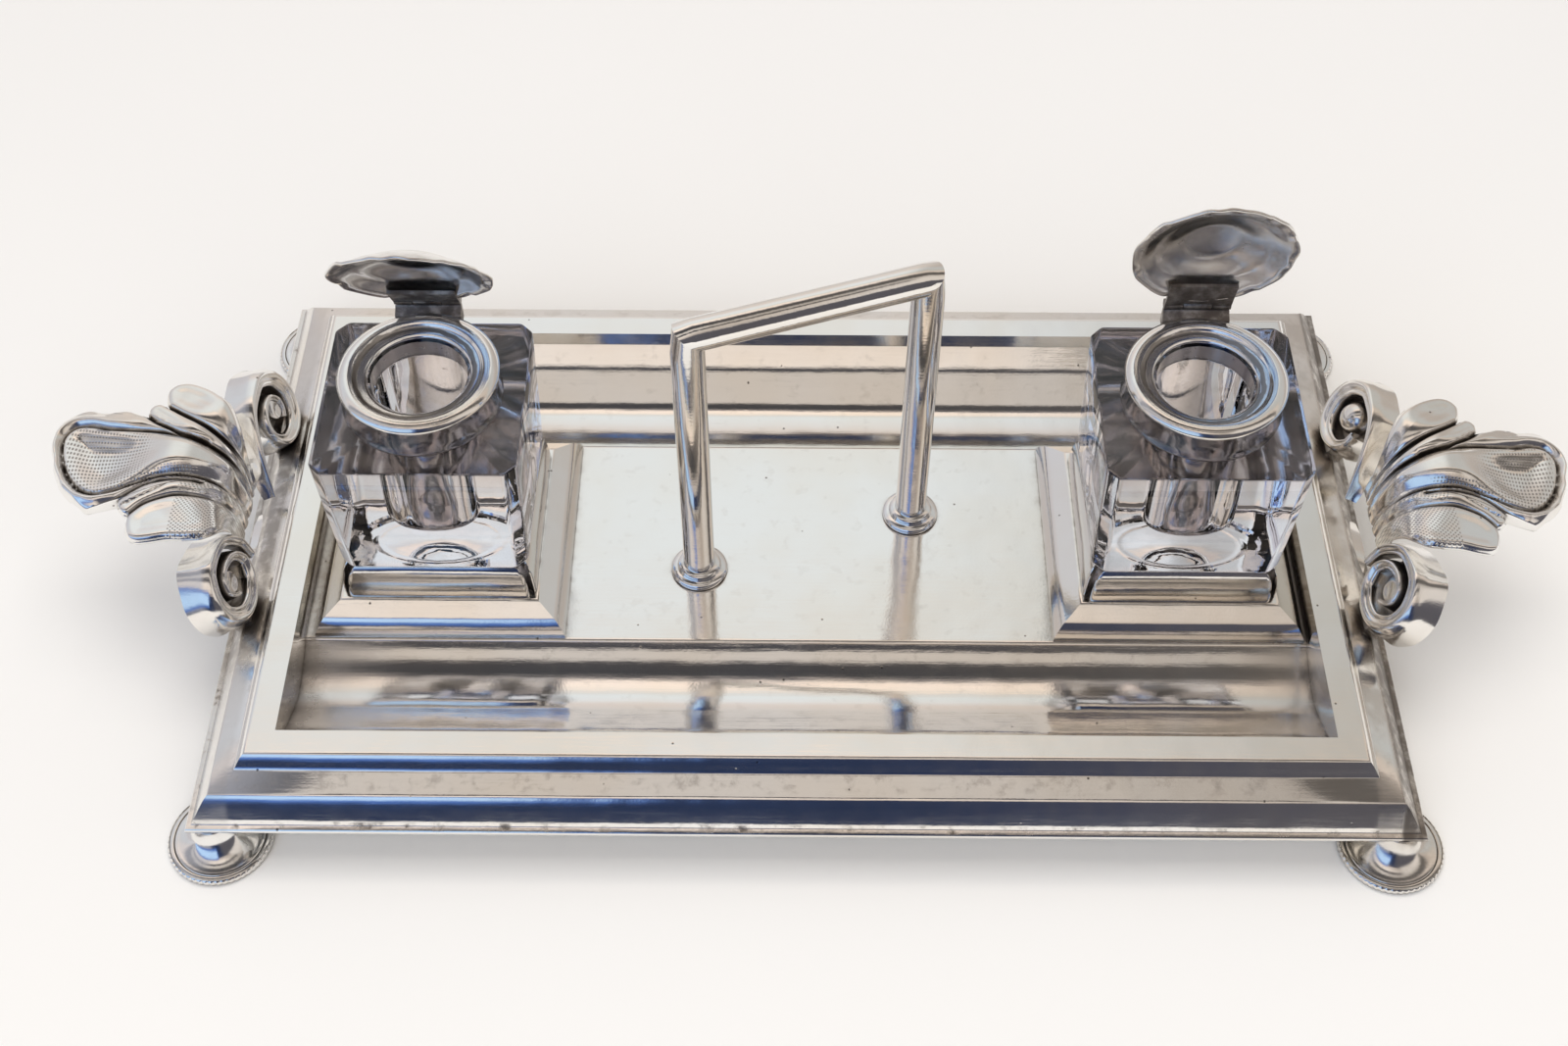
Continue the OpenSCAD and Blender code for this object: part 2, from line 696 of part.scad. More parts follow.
// curved sheet of one lobe, seen from the side: x outward from the root, z up
module lobe_sheet(reach, turn, top, half) {
    rise = top - root_z;
    outer = [for (i = [0 : arc_n]) let (a = 90 * i / arc_n)
        [turn * (1 - cos(a)), root_z + rise * sin(a)]];
    inner = [for (i = [arc_n : -1 : 0]) let (a = 90 * i / arc_n)
        [leaf_t + (turn - leaf_t) * (1 - cos(a)), root_z + (rise - leaf_t) * sin(a)]];
    rotate([90, 0, 0]) linear_extrude(height = half * 2 + over, center = true)
        polygon(concat([[0, root_z - leaf_rise / 3]], outer,
            [[reach + over, top - leaf_droop], [reach + over, top - leaf_droop - leaf_t]],
            inner, [[leaf_t, root_z - leaf_rise / 3]]));
}

// lobe outline from above: narrow at the root, widest near the tip, round end
module lobe_plan(reach, half, root_half) {
    n = 2 * arc_n;
    tip_x = reach - half * tip_round;
    tip = [for (i = [0 : n]) let (a = 90 - 180 * i / n)
        [tip_x + half * tip_round * cos(a), half * sin(a)]];
    flank = [for (i = [0 : arc_n]) let (t = i / arc_n, s = t * t * (3 - 2 * t))
        [-over + (tip_x + over) * t, root_half + (half - root_half) * s]];
    linear_extrude(height = leaf_top + over)
        polygon(concat(flank, tip, [for (i = [arc_n : -1 : 0]) [flank[i][0], -flank[i][1]]]));
}

module lobe(turn_z, reach, half, root_half, top) {
    translate([root_x, 0, 0]) rotate([0, 0, turn_z]) intersection() {
        lobe_sheet(reach, leaf_turn, top, half);
        lobe_plan(reach, half, root_half);
    }
}

module leaf() {
    lobe(0, leaf_reach, lobe_half, lobe_root, leaf_top);
    for (s = [-1, 1]) {
        lobe(s * thin_turn, thin_reach, thin_half, thin_root, leaf_top - thin_drop);
        lobe(s * outer_turn, outer_reach, outer_half, outer_root, leaf_top);
    }
}

module handle_body() {
    leaf();
    scroll_frame() {
        translate([-volute_back, 0, 0]) {
            volute();
            mirror([1, 0, 0]) volute();
        }
        // root block that joins leaf and scrolls to the border
        translate([-root_block_w / 2, -volute_r * lug_foot, -volute_t])
            cube([root_block_w, root_block_h, volute_t * tail_t]);
    }
}

module side_handle_left() {
    color(plated) difference() {
        mirror([1, 0, 0])
            translate([root_x, 0, foot_h]) rotate([0, lean_left, 0]) translate([-root_x, 0, -foot_h])
                handle_body();
        border_block();
    }
}
module side_handle_right() {
    color(plated) difference() {
        translate([root_x, 0, foot_h]) rotate([0, lean_right, 0]) translate([-root_x, 0, -foot_h])
            handle_body();
        border_block();
    }
}

// ---- parts ----

tray_border();
tray_pan();
plinth_left();
plinth_right();
rail_left_front();
rail_left_back();
rail_left_outer();
rail_left_inner();
rail_right_front();
rail_right_back();
rail_right_outer();
rail_right_inner();
carry_handle();
flange_left();
flange_right();
foot_front_left();
foot_front_right();
foot_back_left();
foot_back_right();
side_handle_left();
side_handle_right();
bottle_left();
collar_left();
hinge_plate_left();
hinge_pin_left();
lid_left();
lid_plate_left();
bottle_right();
collar_right();
hinge_plate_right();
hinge_pin_right();
lid_right();
lid_plate_right();
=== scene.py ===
from math import atan2, cos, hypot, pi, radians, sin, sqrt, tan

import bmesh
import bpy
import numpy as np
from mathutils import Matrix, Vector


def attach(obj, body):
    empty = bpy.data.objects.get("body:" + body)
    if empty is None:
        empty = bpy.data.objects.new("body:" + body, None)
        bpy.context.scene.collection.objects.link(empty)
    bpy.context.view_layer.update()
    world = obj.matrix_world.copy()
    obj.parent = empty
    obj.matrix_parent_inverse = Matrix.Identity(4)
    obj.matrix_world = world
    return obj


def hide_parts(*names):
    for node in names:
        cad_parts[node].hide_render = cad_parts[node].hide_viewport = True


# Desk inkstand: a moulded plated tray with two square glass bottles, built round the packed
# CAD frame. Shapes are written in millimetres and turned into metres in make_piece().

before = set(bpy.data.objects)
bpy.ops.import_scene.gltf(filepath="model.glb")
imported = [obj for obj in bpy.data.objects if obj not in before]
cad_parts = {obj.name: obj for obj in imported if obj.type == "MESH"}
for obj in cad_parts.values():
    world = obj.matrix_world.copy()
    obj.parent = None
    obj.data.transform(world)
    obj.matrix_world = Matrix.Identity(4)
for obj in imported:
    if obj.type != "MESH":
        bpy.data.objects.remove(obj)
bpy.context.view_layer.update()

MM = 0.001

# ---- Sizes shared by several pieces (millimetres, the same as the CAD) ----

# tray: its outside and its levels from the ground up, W across and D from front to back; then
# how far in the feet are, and how thick the plate is
TRAY_W, TRAY_D = 300.0, 175.0
FOOT_H, LIP_Z, DECK_Z, PLINTH_Z, RIM_Z = 12.0, 14.0, 16.1, 23.5, 25.9
FOOT_INSET, SHEET = 5.2, 1.2
# the well inside the border, with the deck and a trough on each side of it
WELL_IN = 21.0
WELL_W, WELL_D = TRAY_W - 2 * WELL_IN, TRAY_D - 2 * WELL_IN
DECK_D, TROUGH_Z1, TROUGH_SAG = 66.0, 19.7, 5.2
# plinths, and the rails of the seats on them
PLINTH_W, SEAT_W, RAIL_T, RAIL_Z, RAIL_GAP = 64.4, 49.6, 3.9, 34.1, 2.4
# bottles: place across, half width and corner cant, and the levels of shoulder, neck and collar
BOTTLES = {"left": -94.2, "right": 95.9}
BOTTLE_HALF, BOTTLE_CANT = 24.9, 4.2
SHOULDER_Z, NECK_Z, COLLAR_Z = 73.3, 80.7, 83.1
# lids and hinges; a lid is drawn closed and opened by its angle in degrees
LID_Z, LID_OPEN = 83.5, {"left": 59.0, "right": 77.0}
HINGE_Y, HINGE_Z, HINGE_W, KNUCKLE_W, KNUCKLE_R = 22.0, 84.5, 16.4, 7.0, 1.3
# carry handle: its bar, legs and rod, and its turn on the deck in degrees
BAR_Z, LEG_PITCH, ROD_R, CARRY_TURN = 104.9, 59.4, 4.1, 18.7
# side handles: root of the leaf, its rise and turn outward, and the whole handle's lean in degrees
ROOT_X, ROOT_Z, LEAF_RISE, LEAF_TURN = 146.3, 30.0, 19.0, 16.0
LEAN = {"left": 0.0, "right": 6.0}


# ---- Mesh helpers ----

def make_piece(name, verts, faces, material, body=None, replaces=(), sharp=32.0, marks=None):
    """Mesh object from millimetre points, smooth but for edges sharper than sharp degrees.
    marks holds how strongly each point is stippled. The floor has no body."""
    mesh = bpy.data.meshes.new(name)
    mesh.from_pydata([tuple(c * MM for c in v) for v in verts], [], faces)
    if marks is not None:
        layer = mesh.attributes.new("stipple", "FLOAT", "POINT")
        for point, value in zip(layer.data, marks):
            point.value = value
    bm = bmesh.new()
    bm.from_mesh(mesh)
    bmesh.ops.remove_doubles(bm, verts=bm.verts, dist=2e-6)
    bmesh.ops.recalc_face_normals(bm, faces=bm.faces)
    bm.to_mesh(mesh)
    bm.free()
    mesh.shade_smooth()
    mesh.set_sharp_from_angle(angle=radians(sharp))
    obj = bpy.data.objects.new(name, mesh)
    bpy.context.scene.collection.objects.link(obj)
    obj.data.materials.append(material)
    if body:
        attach(obj, body)
        if replaces:
            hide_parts(*replaces)
    return obj


def grid_faces(rows, cols, wrap_rows=False, wrap_cols=False):
    """Quads over rows x cols points laid out row by row."""
    faces = []
    for i in range(rows if wrap_rows else rows - 1):
        for j in range(cols if wrap_cols else cols - 1):
            i2, j2 = (i + 1) % rows, (j + 1) % cols
            faces.append((i * cols + j, i * cols + j2, i2 * cols + j2, i2 * cols + j))
    return faces


def tube_faces(rings, n):
    """Quads round rings of n points each, with a cap on the first and on the last ring."""
    caps = [tuple(range(n)), tuple(range((rings - 1) * n, rings * n))]
    return grid_faces(rings, n, wrap_cols=True) + caps


def mitred_ring(w, d, prof, centre=(0.0, 0.0), along=10):
    """Closed mitred frame: prof is a closed line of (inset, height), swept round w x d."""
    corners = [(-1, -1), (1, -1), (1, 1), (-1, 1)]
    columns = [(ax + (bx - ax) * s / along, ay + (by - ay) * s / along)
               for (ax, ay), (bx, by) in zip(corners, corners[1:] + corners[:1]) for s in range(along)]
    verts = [(centre[0] + cx * (w / 2 - inset), centre[1] + cy * (d / 2 - inset), z)
             for cx, cy in columns for inset, z in prof]
    return verts, grid_faces(len(columns), len(prof), wrap_rows=True, wrap_cols=True)


def lathe(prof, n, wave=None):
    """Turned shape about Z: prof is a line of (radius, height); wave(angle, k) moves a point.
    make_piece() merges the points that meet on the axis."""
    verts = []
    for k, (r, z) in enumerate(prof):
        for a in np.linspace(0, 2 * pi, n, endpoint=False):
            dr, dz = wave(a, k) if wave else (0.0, 0.0)
            verts.append(((r + dr) * cos(a), (r + dr) * sin(a), z + dz))
    return verts, grid_faces(len(prof), n, wrap_cols=True)


def moved(verts, offset=(0, 0, 0), matrix=Matrix.Identity(3)):
    """Points turned by a matrix and then shifted."""
    return [tuple(matrix @ Vector(v) + Vector(offset)) for v in verts]


def swung(verts, pivot, degrees, axis):
    """Points turned about an axis through pivot."""
    turn = Matrix.Rotation(radians(degrees), 3, axis)
    return moved(moved(verts, [-c for c in pivot]), pivot, turn)


def joined(*parts):
    """Several (verts, faces) as one."""
    verts, faces = [], []
    for v, f in parts:
        k = len(verts)
        verts += list(v)
        faces += [tuple(i + k for i in face) for face in f]
    return verts, faces


def ease(t):
    """0 up to 0, 1 from 1 on and a smooth rise between, for a number or an array."""
    t = np.clip(t, 0.0, 1.0)
    return t * t * (3 - 2 * t)


# ---- Materials ----

class Graph:
    """Adds linked nodes to the emptied node tree of a material or a world."""

    def __init__(self, owner, output):
        owner.use_nodes = True
        self.owner = owner
        self.tree = owner.node_tree
        self.tree.nodes.clear()
        self.out = self.tree.nodes.new("ShaderNode" + output)

    def put(self, socket, value):
        if isinstance(value, bpy.types.NodeSocket):
            self.tree.links.new(value, socket)
        else:
            socket.default_value = value

    def add(self, kind, inputs=None, out=0, **settings):
        node = self.tree.nodes.new("ShaderNode" + kind)
        for key, value in settings.items():
            setattr(node, key, value)
        for key, value in (inputs or {}).items():
            self.put(node.inputs[key], value)
        return node.outputs[out]

    def surface(self, shader):
        """Links the shader to the output and returns the material or world."""
        self.put(self.out.inputs["Surface"], shader)
        return self.owner

    def math(self, op, a, b=0.0, clamp=False):
        return self.add("Math", {0: a, 1: b}, operation=op, use_clamp=clamp)

    def times(self, a, b, clamp=False):
        return self.math("MULTIPLY", a, b, clamp)

    def plus(self, a, b, clamp=False):
        return self.math("ADD", a, b, clamp)

    def minus(self, a, b):
        return self.math("SUBTRACT", a, b)

    def most(self, a, b):
        return self.math("MAXIMUM", a, b)

    def mix(self, factor, a, b):
        return self.add("Mix", {0: factor, 6: a, 7: b}, out=2, data_type="RGBA")

    def noise(self, coords, scale, detail=3.0, rough=0.55):
        return self.add("TexNoise",
                        {"Vector": coords, "Scale": scale, "Detail": detail, "Roughness": rough})

    def step(self, value, low, high, to_min=0.0, to_max=1.0):
        return self.add("MapRange", {0: value, 1: low, 2: high, 3: to_min, 4: to_max},
                        clamp=True, interpolation_type="SMOOTHSTEP")

    def band(self, value, start, full, fall, end):
        """1 from full to fall, and 0 before start and after end."""
        return self.times(self.step(value, start, full), self.step(value, fall, end, 1.0, 0.0))

    def bump(self, height, strength, distance, normal=None):
        ins = {"Height": height, "Strength": strength, "Distance": distance}
        if normal is not None:
            ins["Normal"] = normal
        return self.add("Bump", ins)

    def place(self):
        """Place on the object, in metres."""
        return self.add("TexCoord", out=3)

    def split(self, vector):
        """X, Y and Z of a vector."""
        return self.add("SeparateXYZ", {0: vector}).node.outputs

    def plan_reach(self, x, y, axis_x):
        """On either side of the tray: how far outward of axis_x, and the distance from that axis."""
        out = self.minus(self.math("ABSOLUTE", x), axis_x)
        return out, self.math("POWER", self.plus(self.times(out, out), self.times(y, y)), 0.5)


def new_material(name):
    return Graph(bpy.data.materials.new(name), "OutputMaterial")


def rgba(r, g, b):
    return (r, g, b, 1.0)


def mm(*sizes):
    """Millimetres as the metres that a material works in."""
    return [size * MM for size in sizes]


SILVER = rgba(0.90, 0.89, 0.87)
SILVER_WARM = rgba(0.88, 0.84, 0.78)
# darkest colour, for patina, pits and dirt, and for the painted shade in corners
TARNISH_AND_SHADE = rgba(0.10, 0.08, 0.068)
BROWN = rgba(0.36, 0.30, 0.24)
# how far out the leaves' fans are, and the bottles' axes on the average
FAN_X, AXIS_X = mm(ROOT_X - 8.3, (BOTTLES["right"] - BOTTLES["left"]) / 2)


def stipple_pits(g, coords):
    """Rows of punched dots that fan out from the root of a leaf, where the mesh says so."""
    x, y, _ = g.split(coords)
    out, reach = g.plan_reach(x, y, FAN_X)
    rays = g.math("SINE", g.times(g.math("ARCTAN2", y, out), 210.0))
    dots = g.math("SINE", g.times(reach, 7400.0))
    pattern = g.times(g.step(rays, -0.3, 0.8), g.step(dots, -0.5, 0.7))
    where = g.add("Attribute", out=2, attribute_name="stipple")
    worn = g.step(g.noise(coords, 120.0), 0.3, 0.5, 0.5, 1.0)
    return g.times(pattern, g.times(where, worn))


def silver(name, crevice=0.003, tarnish_and_shade=0.9, pits=0.35, worn=0.0, rough=0.075, extra=None,
           stippled=False):
    """Polished silver plate: slight mottling, pits, fine scratches, and brown patina in corners that is
    also painted shade. worn adds an all-over patina; extra(graph, coords, mottle) gives a mask of more
    staining, which on the border also holds painted shade."""
    g = new_material(name)
    coords = g.place()
    broad = g.noise(coords, 22.0, 3.0)
    mottle = g.noise(coords, 260.0, 4.0, 0.6)
    fine = g.noise(coords, 1500.0, 3.0, 0.6)
    colour = g.mix(g.step(broad, 0.35, 0.7), SILVER, SILVER_WARM)

    # brown patina and painted shade in corners and under other parts, placed by ambient occlusion
    ao = g.add("AmbientOcclusion", {"Distance": crevice}, out=1, samples=6)
    ragged = g.plus(ao, g.times(g.minus(mottle, 0.5), 0.55))
    edge = g.step(ragged, 0.30, 0.85, 1.0, 0.0)
    stain_and_shade = g.times(edge, tarnish_and_shade)
    if worn:
        patch = g.step(g.plus(g.times(broad, 0.5), g.times(mottle, 0.5)), 0.42, 0.68)
        stain_and_shade = g.most(stain_and_shade, g.times(patch, worn))
    if extra is not None:
        stain_and_shade = g.most(stain_and_shade, extra(g, coords, mottle))
    colour = g.mix(g.times(stain_and_shade, 0.65, clamp=True), colour, BROWN)
    colour = g.mix(g.step(stain_and_shade, 0.45, 1.0, 0.0, 0.85), colour, TARNISH_AND_SHADE)

    cell = g.add("TexVoronoi", {"Vector": coords, "Scale": 190.0}).node
    chance = g.add("SeparateColor", {0: cell.outputs["Color"]})
    chosen = g.step(chance, 1.0 - pits, 1.02 - pits)
    spot = g.times(g.step(cell.outputs["Distance"], 0.035, 0.075, 1.0, 0.0), chosen)
    colour = g.mix(g.times(spot, 0.8), colour, TARNISH_AND_SHADE)

    streak_at = g.add("Mapping", {"Vector": coords, "Scale": (60.0, 1400.0, 1400.0)})
    streak = g.noise(streak_at, 1.0, 2.0)
    roughness = g.plus(rough, g.times(g.minus(streak, 0.4), 0.06))
    roughness = g.plus(roughness, g.times(stain_and_shade, 0.32))
    roughness = g.plus(roughness, g.times(mottle, 0.05), clamp=True)

    normal = g.bump(g.noise(coords, 55.0, 2.0), 0.05, 0.004)
    normal = g.bump(streak, 0.03, 0.0004, normal)
    if stippled:
        punched = stipple_pits(g, coords)
        colour = g.mix(g.times(punched, 0.62), colour, TARNISH_AND_SHADE)
        normal = g.bump(punched, 0.55, -0.00025, normal)
    normal = g.bump(g.minus(fine, g.times(spot, 2.0)), 0.10, 0.0001, normal)
    shader = g.add("BsdfPrincipled", {
        "Base Color": colour, "Metallic": 1.0, "Roughness": roughness, "Normal": normal})
    return g.surface(shader)


def ledge_dirt_and_shade(g, coords, mottle):
    """Grime along the flat ledge of the border and the foot of its mouldings, and brown sides,
    with painted shade of the left handle on the border behind it.
    """
    x, y, z = g.split(coords)
    half = TRAY_W / 2
    ledge = g.band(z, *mm(LIP_Z - 0.4, LIP_Z - 0.2, LIP_Z + 0.4, LIP_Z + 1.2))
    cove = g.band(z, *mm(RIM_Z - 5.5, RIM_Z - 4.4, RIM_Z - 3.7, RIM_Z - 2.9))
    dirt = g.times(g.step(mottle, 0.47, 0.72), g.plus(g.times(ledge, 0.8), g.times(cove, 0.3)))
    # the right-hand side is browner all along its outer moulding
    outer = g.step(x, *mm(half - 7.5, half - 5.5), 0.0, 0.85)
    blotch = g.step(g.noise(coords, 90.0), 0.4, 0.6)
    side = g.most(outer, g.times(g.step(x, *mm(half - 13.5, half - 11.5), 0.0, 0.45), blotch))
    # and the left-hand side behind its handle: brown patina mixed with painted shade of the handle
    behind_handle_shade = g.step(g.math("ABSOLUTE", y), *mm(34, 60), 1.0, 0.35)
    side = g.most(side, g.times(g.step(x, *mm(9.5 - half, 11.5 - half), 0.7, 0.0), behind_handle_shade))
    return g.most(dirt, g.times(side, g.step(mottle, 0.2, 0.6, 0.6, 1.0)))


def cement_ring(g, coords, mottle):
    """Ragged remains of old cement where the collar falls inward to the mouth."""
    x, y, z = g.split(coords)
    _, reach = g.plan_reach(x, y, AXIS_X)
    reach = g.plus(reach, g.times(g.minus(mottle, 0.5), 1.6 * MM))
    above_neck = g.step(z, *mm(NECK_Z - 0.2, NECK_Z + 0.3), 0.0, 0.75)
    return g.times(g.band(reach, *mm(13.6, 14.0, 14.9, 15.3)), above_neck)


def dark_patina(g, coords, mottle):
    """Old dark skin over the whole of the hinge."""
    return g.step(mottle, 0.25, 0.7, 0.66, 0.98)


def trough_stain(g, coords, mottle):
    """Brown staining at the ends of the pen troughs, stronger at the left."""
    x, y, _ = g.split(coords)
    blotch = g.noise(coords, 48.0, 5.0, 0.7)
    end = WELL_W / 2
    left = g.step(g.plus(x, g.times(blotch, 35 * MM)), *mm(4 - end, 54 - end), 0.95, 0.0)
    right = g.step(g.minus(x, g.times(blotch, 30 * MM)), *mm(end - 44, end - 4), 0.0, 0.75)
    wet = g.step(g.math("ABSOLUTE", y), *mm(DECK_D / 2 - 0.5, DECK_D / 2 + 1.5))
    ends = g.times(g.most(left, right), wet)
    speckle = g.times(g.step(mottle, 0.56, 0.70), 0.10)
    return g.most(g.times(ends, g.step(blotch, 0.25, 0.62, 0.35, 1.0)), speckle)


def glass(name):
    """Old clear glass: faint waves drawn out upright, ripples, a colour that wanders, and painted shade
    on the flat shoulder.
    """
    g = new_material(name)
    coords = g.place()
    drawn_out = g.add("Mapping", {"Vector": coords, "Scale": (1.0, 1.0, 0.35)})
    waves = g.noise(drawn_out, 70.0, 2.0)
    ripple = g.noise(coords, 420.0, 2.0)
    normal = g.bump(waves, 0.10, 0.0020)
    normal = g.bump(ripple, 0.03, 0.0003, normal)
    rough = g.step(g.noise(coords, 130.0, 4.0), 0.45, 0.85, 0.0, 0.05)
    tint_and_shade = g.mix(g.noise(coords, 30.0), rgba(0.86, 0.85, 0.885), rgba(0.91, 0.90, 0.92))
    # the flat shoulder round the collar is duller than the sides, and painted darker: a painted reflection
    # of dark surroundings
    x, y, z = g.split(coords)
    _, reach = g.plan_reach(x, y, AXIS_X)
    top = g.times(g.step(z, *mm(SHOULDER_Z - 0.9, SHOULDER_Z - 0.2)), g.step(reach, *mm(15.5, 16.2)))
    tint_and_shade = g.mix(top, tint_and_shade, rgba(0.50, 0.47, 0.51))
    rough = g.plus(rough, g.times(top, 0.10))
    body = g.add("BsdfPrincipled", {
        "Base Color": tint_and_shade, "Roughness": rough, "IOR": 1.5,
        "Transmission Weight": 1.0, "Normal": normal})
    clear = g.add("BsdfTransparent", {"Color": rgba(0.86, 0.855, 0.88)})
    shadow = g.add("LightPath", out=1)
    return g.surface(g.add("MixShader", {0: shadow, 1: body, 2: clear}))


M_BORDER = silver("plated_border", crevice=0.0032, extra=ledge_dirt_and_shade)
M_PAN = silver("plated_pan", crevice=0.004, extra=trough_stain, rough=0.06)
M_PLINTH = silver("plated_plinth", crevice=0.0032, pits=0.4)
M_ROD = silver("plated_rod", crevice=0.002, pits=0.12, rough=0.05)
M_CAST = silver("cast_silver", crevice=0.0036, worn=0.10, pits=0.2, rough=0.10,
                stippled=True)
M_CAP = silver("spun_cap", crevice=0.002, tarnish_and_shade=0.55, worn=0.10, pits=0.25, rough=0.08,
               extra=cement_ring)
M_LID = silver("lid_inside", crevice=0.003, tarnish_and_shade=0.7, worn=0.42, pits=0.4, rough=0.11)
M_HINGE = silver("hinge_metal", crevice=0.002, tarnish_and_shade=0.6, rough=0.16, extra=dark_patina)
M_FOOT = silver("plated_foot", crevice=0.003, worn=0.30, rough=0.10)
M_GLASS = glass("bottle_glass")


# ---- Tray border, pan, plinths and seat rails ----

def border_profile():
    """Section of the border from its outer lip inward, over the rim and back below."""
    lip = [(0.9, FOOT_H), (0.25, FOOT_H + 0.25), (0.03, FOOT_H + 0.65), (0.0, FOOT_H + 1.1),
           (0.1, LIP_Z - 0.45), (0.35, LIP_Z - 0.22), (0.8, LIP_Z - 0.15)]
    ledge = [(1.45, LIP_Z - 0.1), (1.55, LIP_Z)]
    ovolo = [(1.62, 14.2), (2.3, 15.31), (3.1, 16.58), (3.8, 17.68), (4.4, 18.58), (4.9, 19.3),
             (5.35, 19.85), (5.7, 20.18), (6.0, 20.39), (6.25, 20.52)]
    cove = [(6.45, 20.6), (6.7, 20.69), (8.6, 21.33), (11.4, 22.28), (11.7, 22.38)]
    bead = [(11.85, 22.5), (12.3, 23.2), (12.8, 24.0), (13.3, 24.75), (13.8, 25.36), (14.15, 25.68),
            (14.45, 25.84)]
    rim = [(14.75, RIM_Z), (15.0, RIM_Z), (15.4, RIM_Z), (19.4, RIM_Z), (19.8, RIM_Z)]
    soft = 1.0
    inner = [(WELL_IN - soft * cos(a), RIM_Z - soft + soft * sin(a))
             for a in np.linspace(pi / 2, 0, 9)]
    wall = [(WELL_IN, 22.0), (WELL_IN, FOOT_H), (WELL_IN - SHEET, FOOT_H), (WELL_IN - SHEET, 24.2)]
    under = [(15.5, 24.2), (13.6, 21.4), (7.6, 19.2), (4.0, 15.4), (3.4, FOOT_H)]
    return lip + ledge + ovolo + cove + bead + rim + inner + wall + under


verts, faces = mitred_ring(TRAY_W, TRAY_D, border_profile())
make_piece("border_moulding", verts, faces, M_BORDER, "tray", ["tray_border"])


def trough_line(n=20):
    """Section of a pen trough from the deck's edge: a round fall, a tight turn and a sloping rise."""
    y0, z0, y1, z1 = DECK_D / 2, DECK_Z - 0.6, WELL_D / 2, TROUGH_Z1
    chord = hypot(y1 - y0, z1 - z0)
    r = chord ** 2 / (8 * TROUGH_SAG) + TROUGH_SAG / 2
    ux, uz = (y1 - y0) / chord, (z1 - z0) / chord
    my = (y0 + y1) / 2 - uz * (r - TROUGH_SAG)
    mz = (z0 + z1) / 2 + ux * (r - TROUGH_SAG)
    start = atan2(z0 - mz, y0 - my)
    line = [(my + r * cos(a), mz + r * sin(a))
            for a in np.linspace(start, -pi / 2, n + 1)]
    turn_r, turn_end = 13.0, 25.0
    y, z = line[-1]
    line += [(y + turn_r * sin(a), z + turn_r * (1 - cos(a)))
             for a in np.linspace(0, radians(turn_end), 11)[1:]]
    # the rise gets steeper, most of all a little past its middle
    y, z = line[-1]
    steps = 16
    width = (y1 - y) / steps
    for i in range(steps):
        t = (i + 0.5) / steps
        slope = radians(turn_end + 1.5 * t + 7.0 * ease((t - 0.55) / 0.1) + 1.5 * t * t)
        y, z = y + width, z + width * tan(slope)
        line.append((y, z))
    return line


def pan_mesh():
    """Deck with a trough along each long side, drawn out along X as one thick sheet."""
    edge = [(DECK_D / 2 - 1.3, DECK_Z), (DECK_D / 2 - 0.8, DECK_Z), (DECK_D / 2 - 0.3, DECK_Z - 0.07),
            (DECK_D / 2, DECK_Z - 0.3)]
    half = edge + trough_line()
    top = [(-y, z) for y, z in reversed(half)] + half
    prof = top + [(y, z - SHEET) for y, z in reversed(top)]
    columns = 24
    verts = [(x, y, z) for x in np.linspace(-WELL_W / 2, WELL_W / 2, columns + 1) for y, z in prof]
    return verts, tube_faces(columns + 1, len(prof))


verts, faces = pan_mesh()
make_piece("pan_with_troughs", verts, faces, M_PAN, "tray", ["tray_pan"])


def plinth_profile():
    """Moulded edge of the plinth, with its flat seat closed to the middle."""
    middle = PLINTH_W / 2 - 0.02
    foot = [(1.4, DECK_Z), (0.0, DECK_Z), (0.0, DECK_Z + 0.8)]
    ovolo = [(0.25, 17.6), (0.8, 18.62), (1.3, 19.45), (1.8, 20.15), (2.2, 20.6), (2.5, 20.86),
             (2.8, 21.06)]
    slope = [(3.1, 21.24), (6.5, 23.2), (6.8, 23.37), (7.1, PLINTH_Z - 0.02)]
    seat = [(inset, PLINTH_Z) for inset in (7.4, 7.8, 14.0, 28.0, middle)]
    under = [(middle, PLINTH_Z - 1.3), (8.0, PLINTH_Z - 1.4), (4.0, 19.1), (1.4, DECK_Z + 2.0)]
    return foot + ovolo + slope + seat + under


def rail_mesh(x, turn):
    """One convex seat rail with mitred, slightly rounded ends; turn 0 is the front one."""
    seat_half, end_gap = SEAT_W / 2, RAIL_GAP / sqrt(2)
    # section: a long quarter round up the outside, then the top and the inside
    prof = [(2.9 * (1 - cos(a)), PLINTH_Z + 0.1 + 10.4 * sin(a)) for a in np.linspace(0, pi / 2, 19)]
    prof += [(RAIL_T - 0.15, RAIL_Z), (RAIL_T, RAIL_Z - 0.15), (RAIL_T, PLINTH_Z), (0.2, PLINTH_Z)]
    # share of half the rail's length, and how far its edges are rounded off there
    cuts = [(-1.0, 0.5), (-0.985, 0.14), (-0.955, 0.0), (-0.5, 0.0), (0.0, 0.0), (0.5, 0.0),
            (0.955, 0.0), (0.985, 0.14), (1.0, 0.5)]
    verts = []
    for share, rounded in cuts:
        for inset, z in prof:
            x_along = share * (seat_half - end_gap - inset)
            y = inset - seat_half + (rounded if inset < 1 else 0.0)
            verts.append((x_along, y, z - rounded if z > RAIL_Z - 2 else z))
    verts = moved(verts, (x, 0, 0), Matrix.Rotation(radians(turn), 3, "Z"))
    return verts, tube_faces(len(cuts), len(prof))


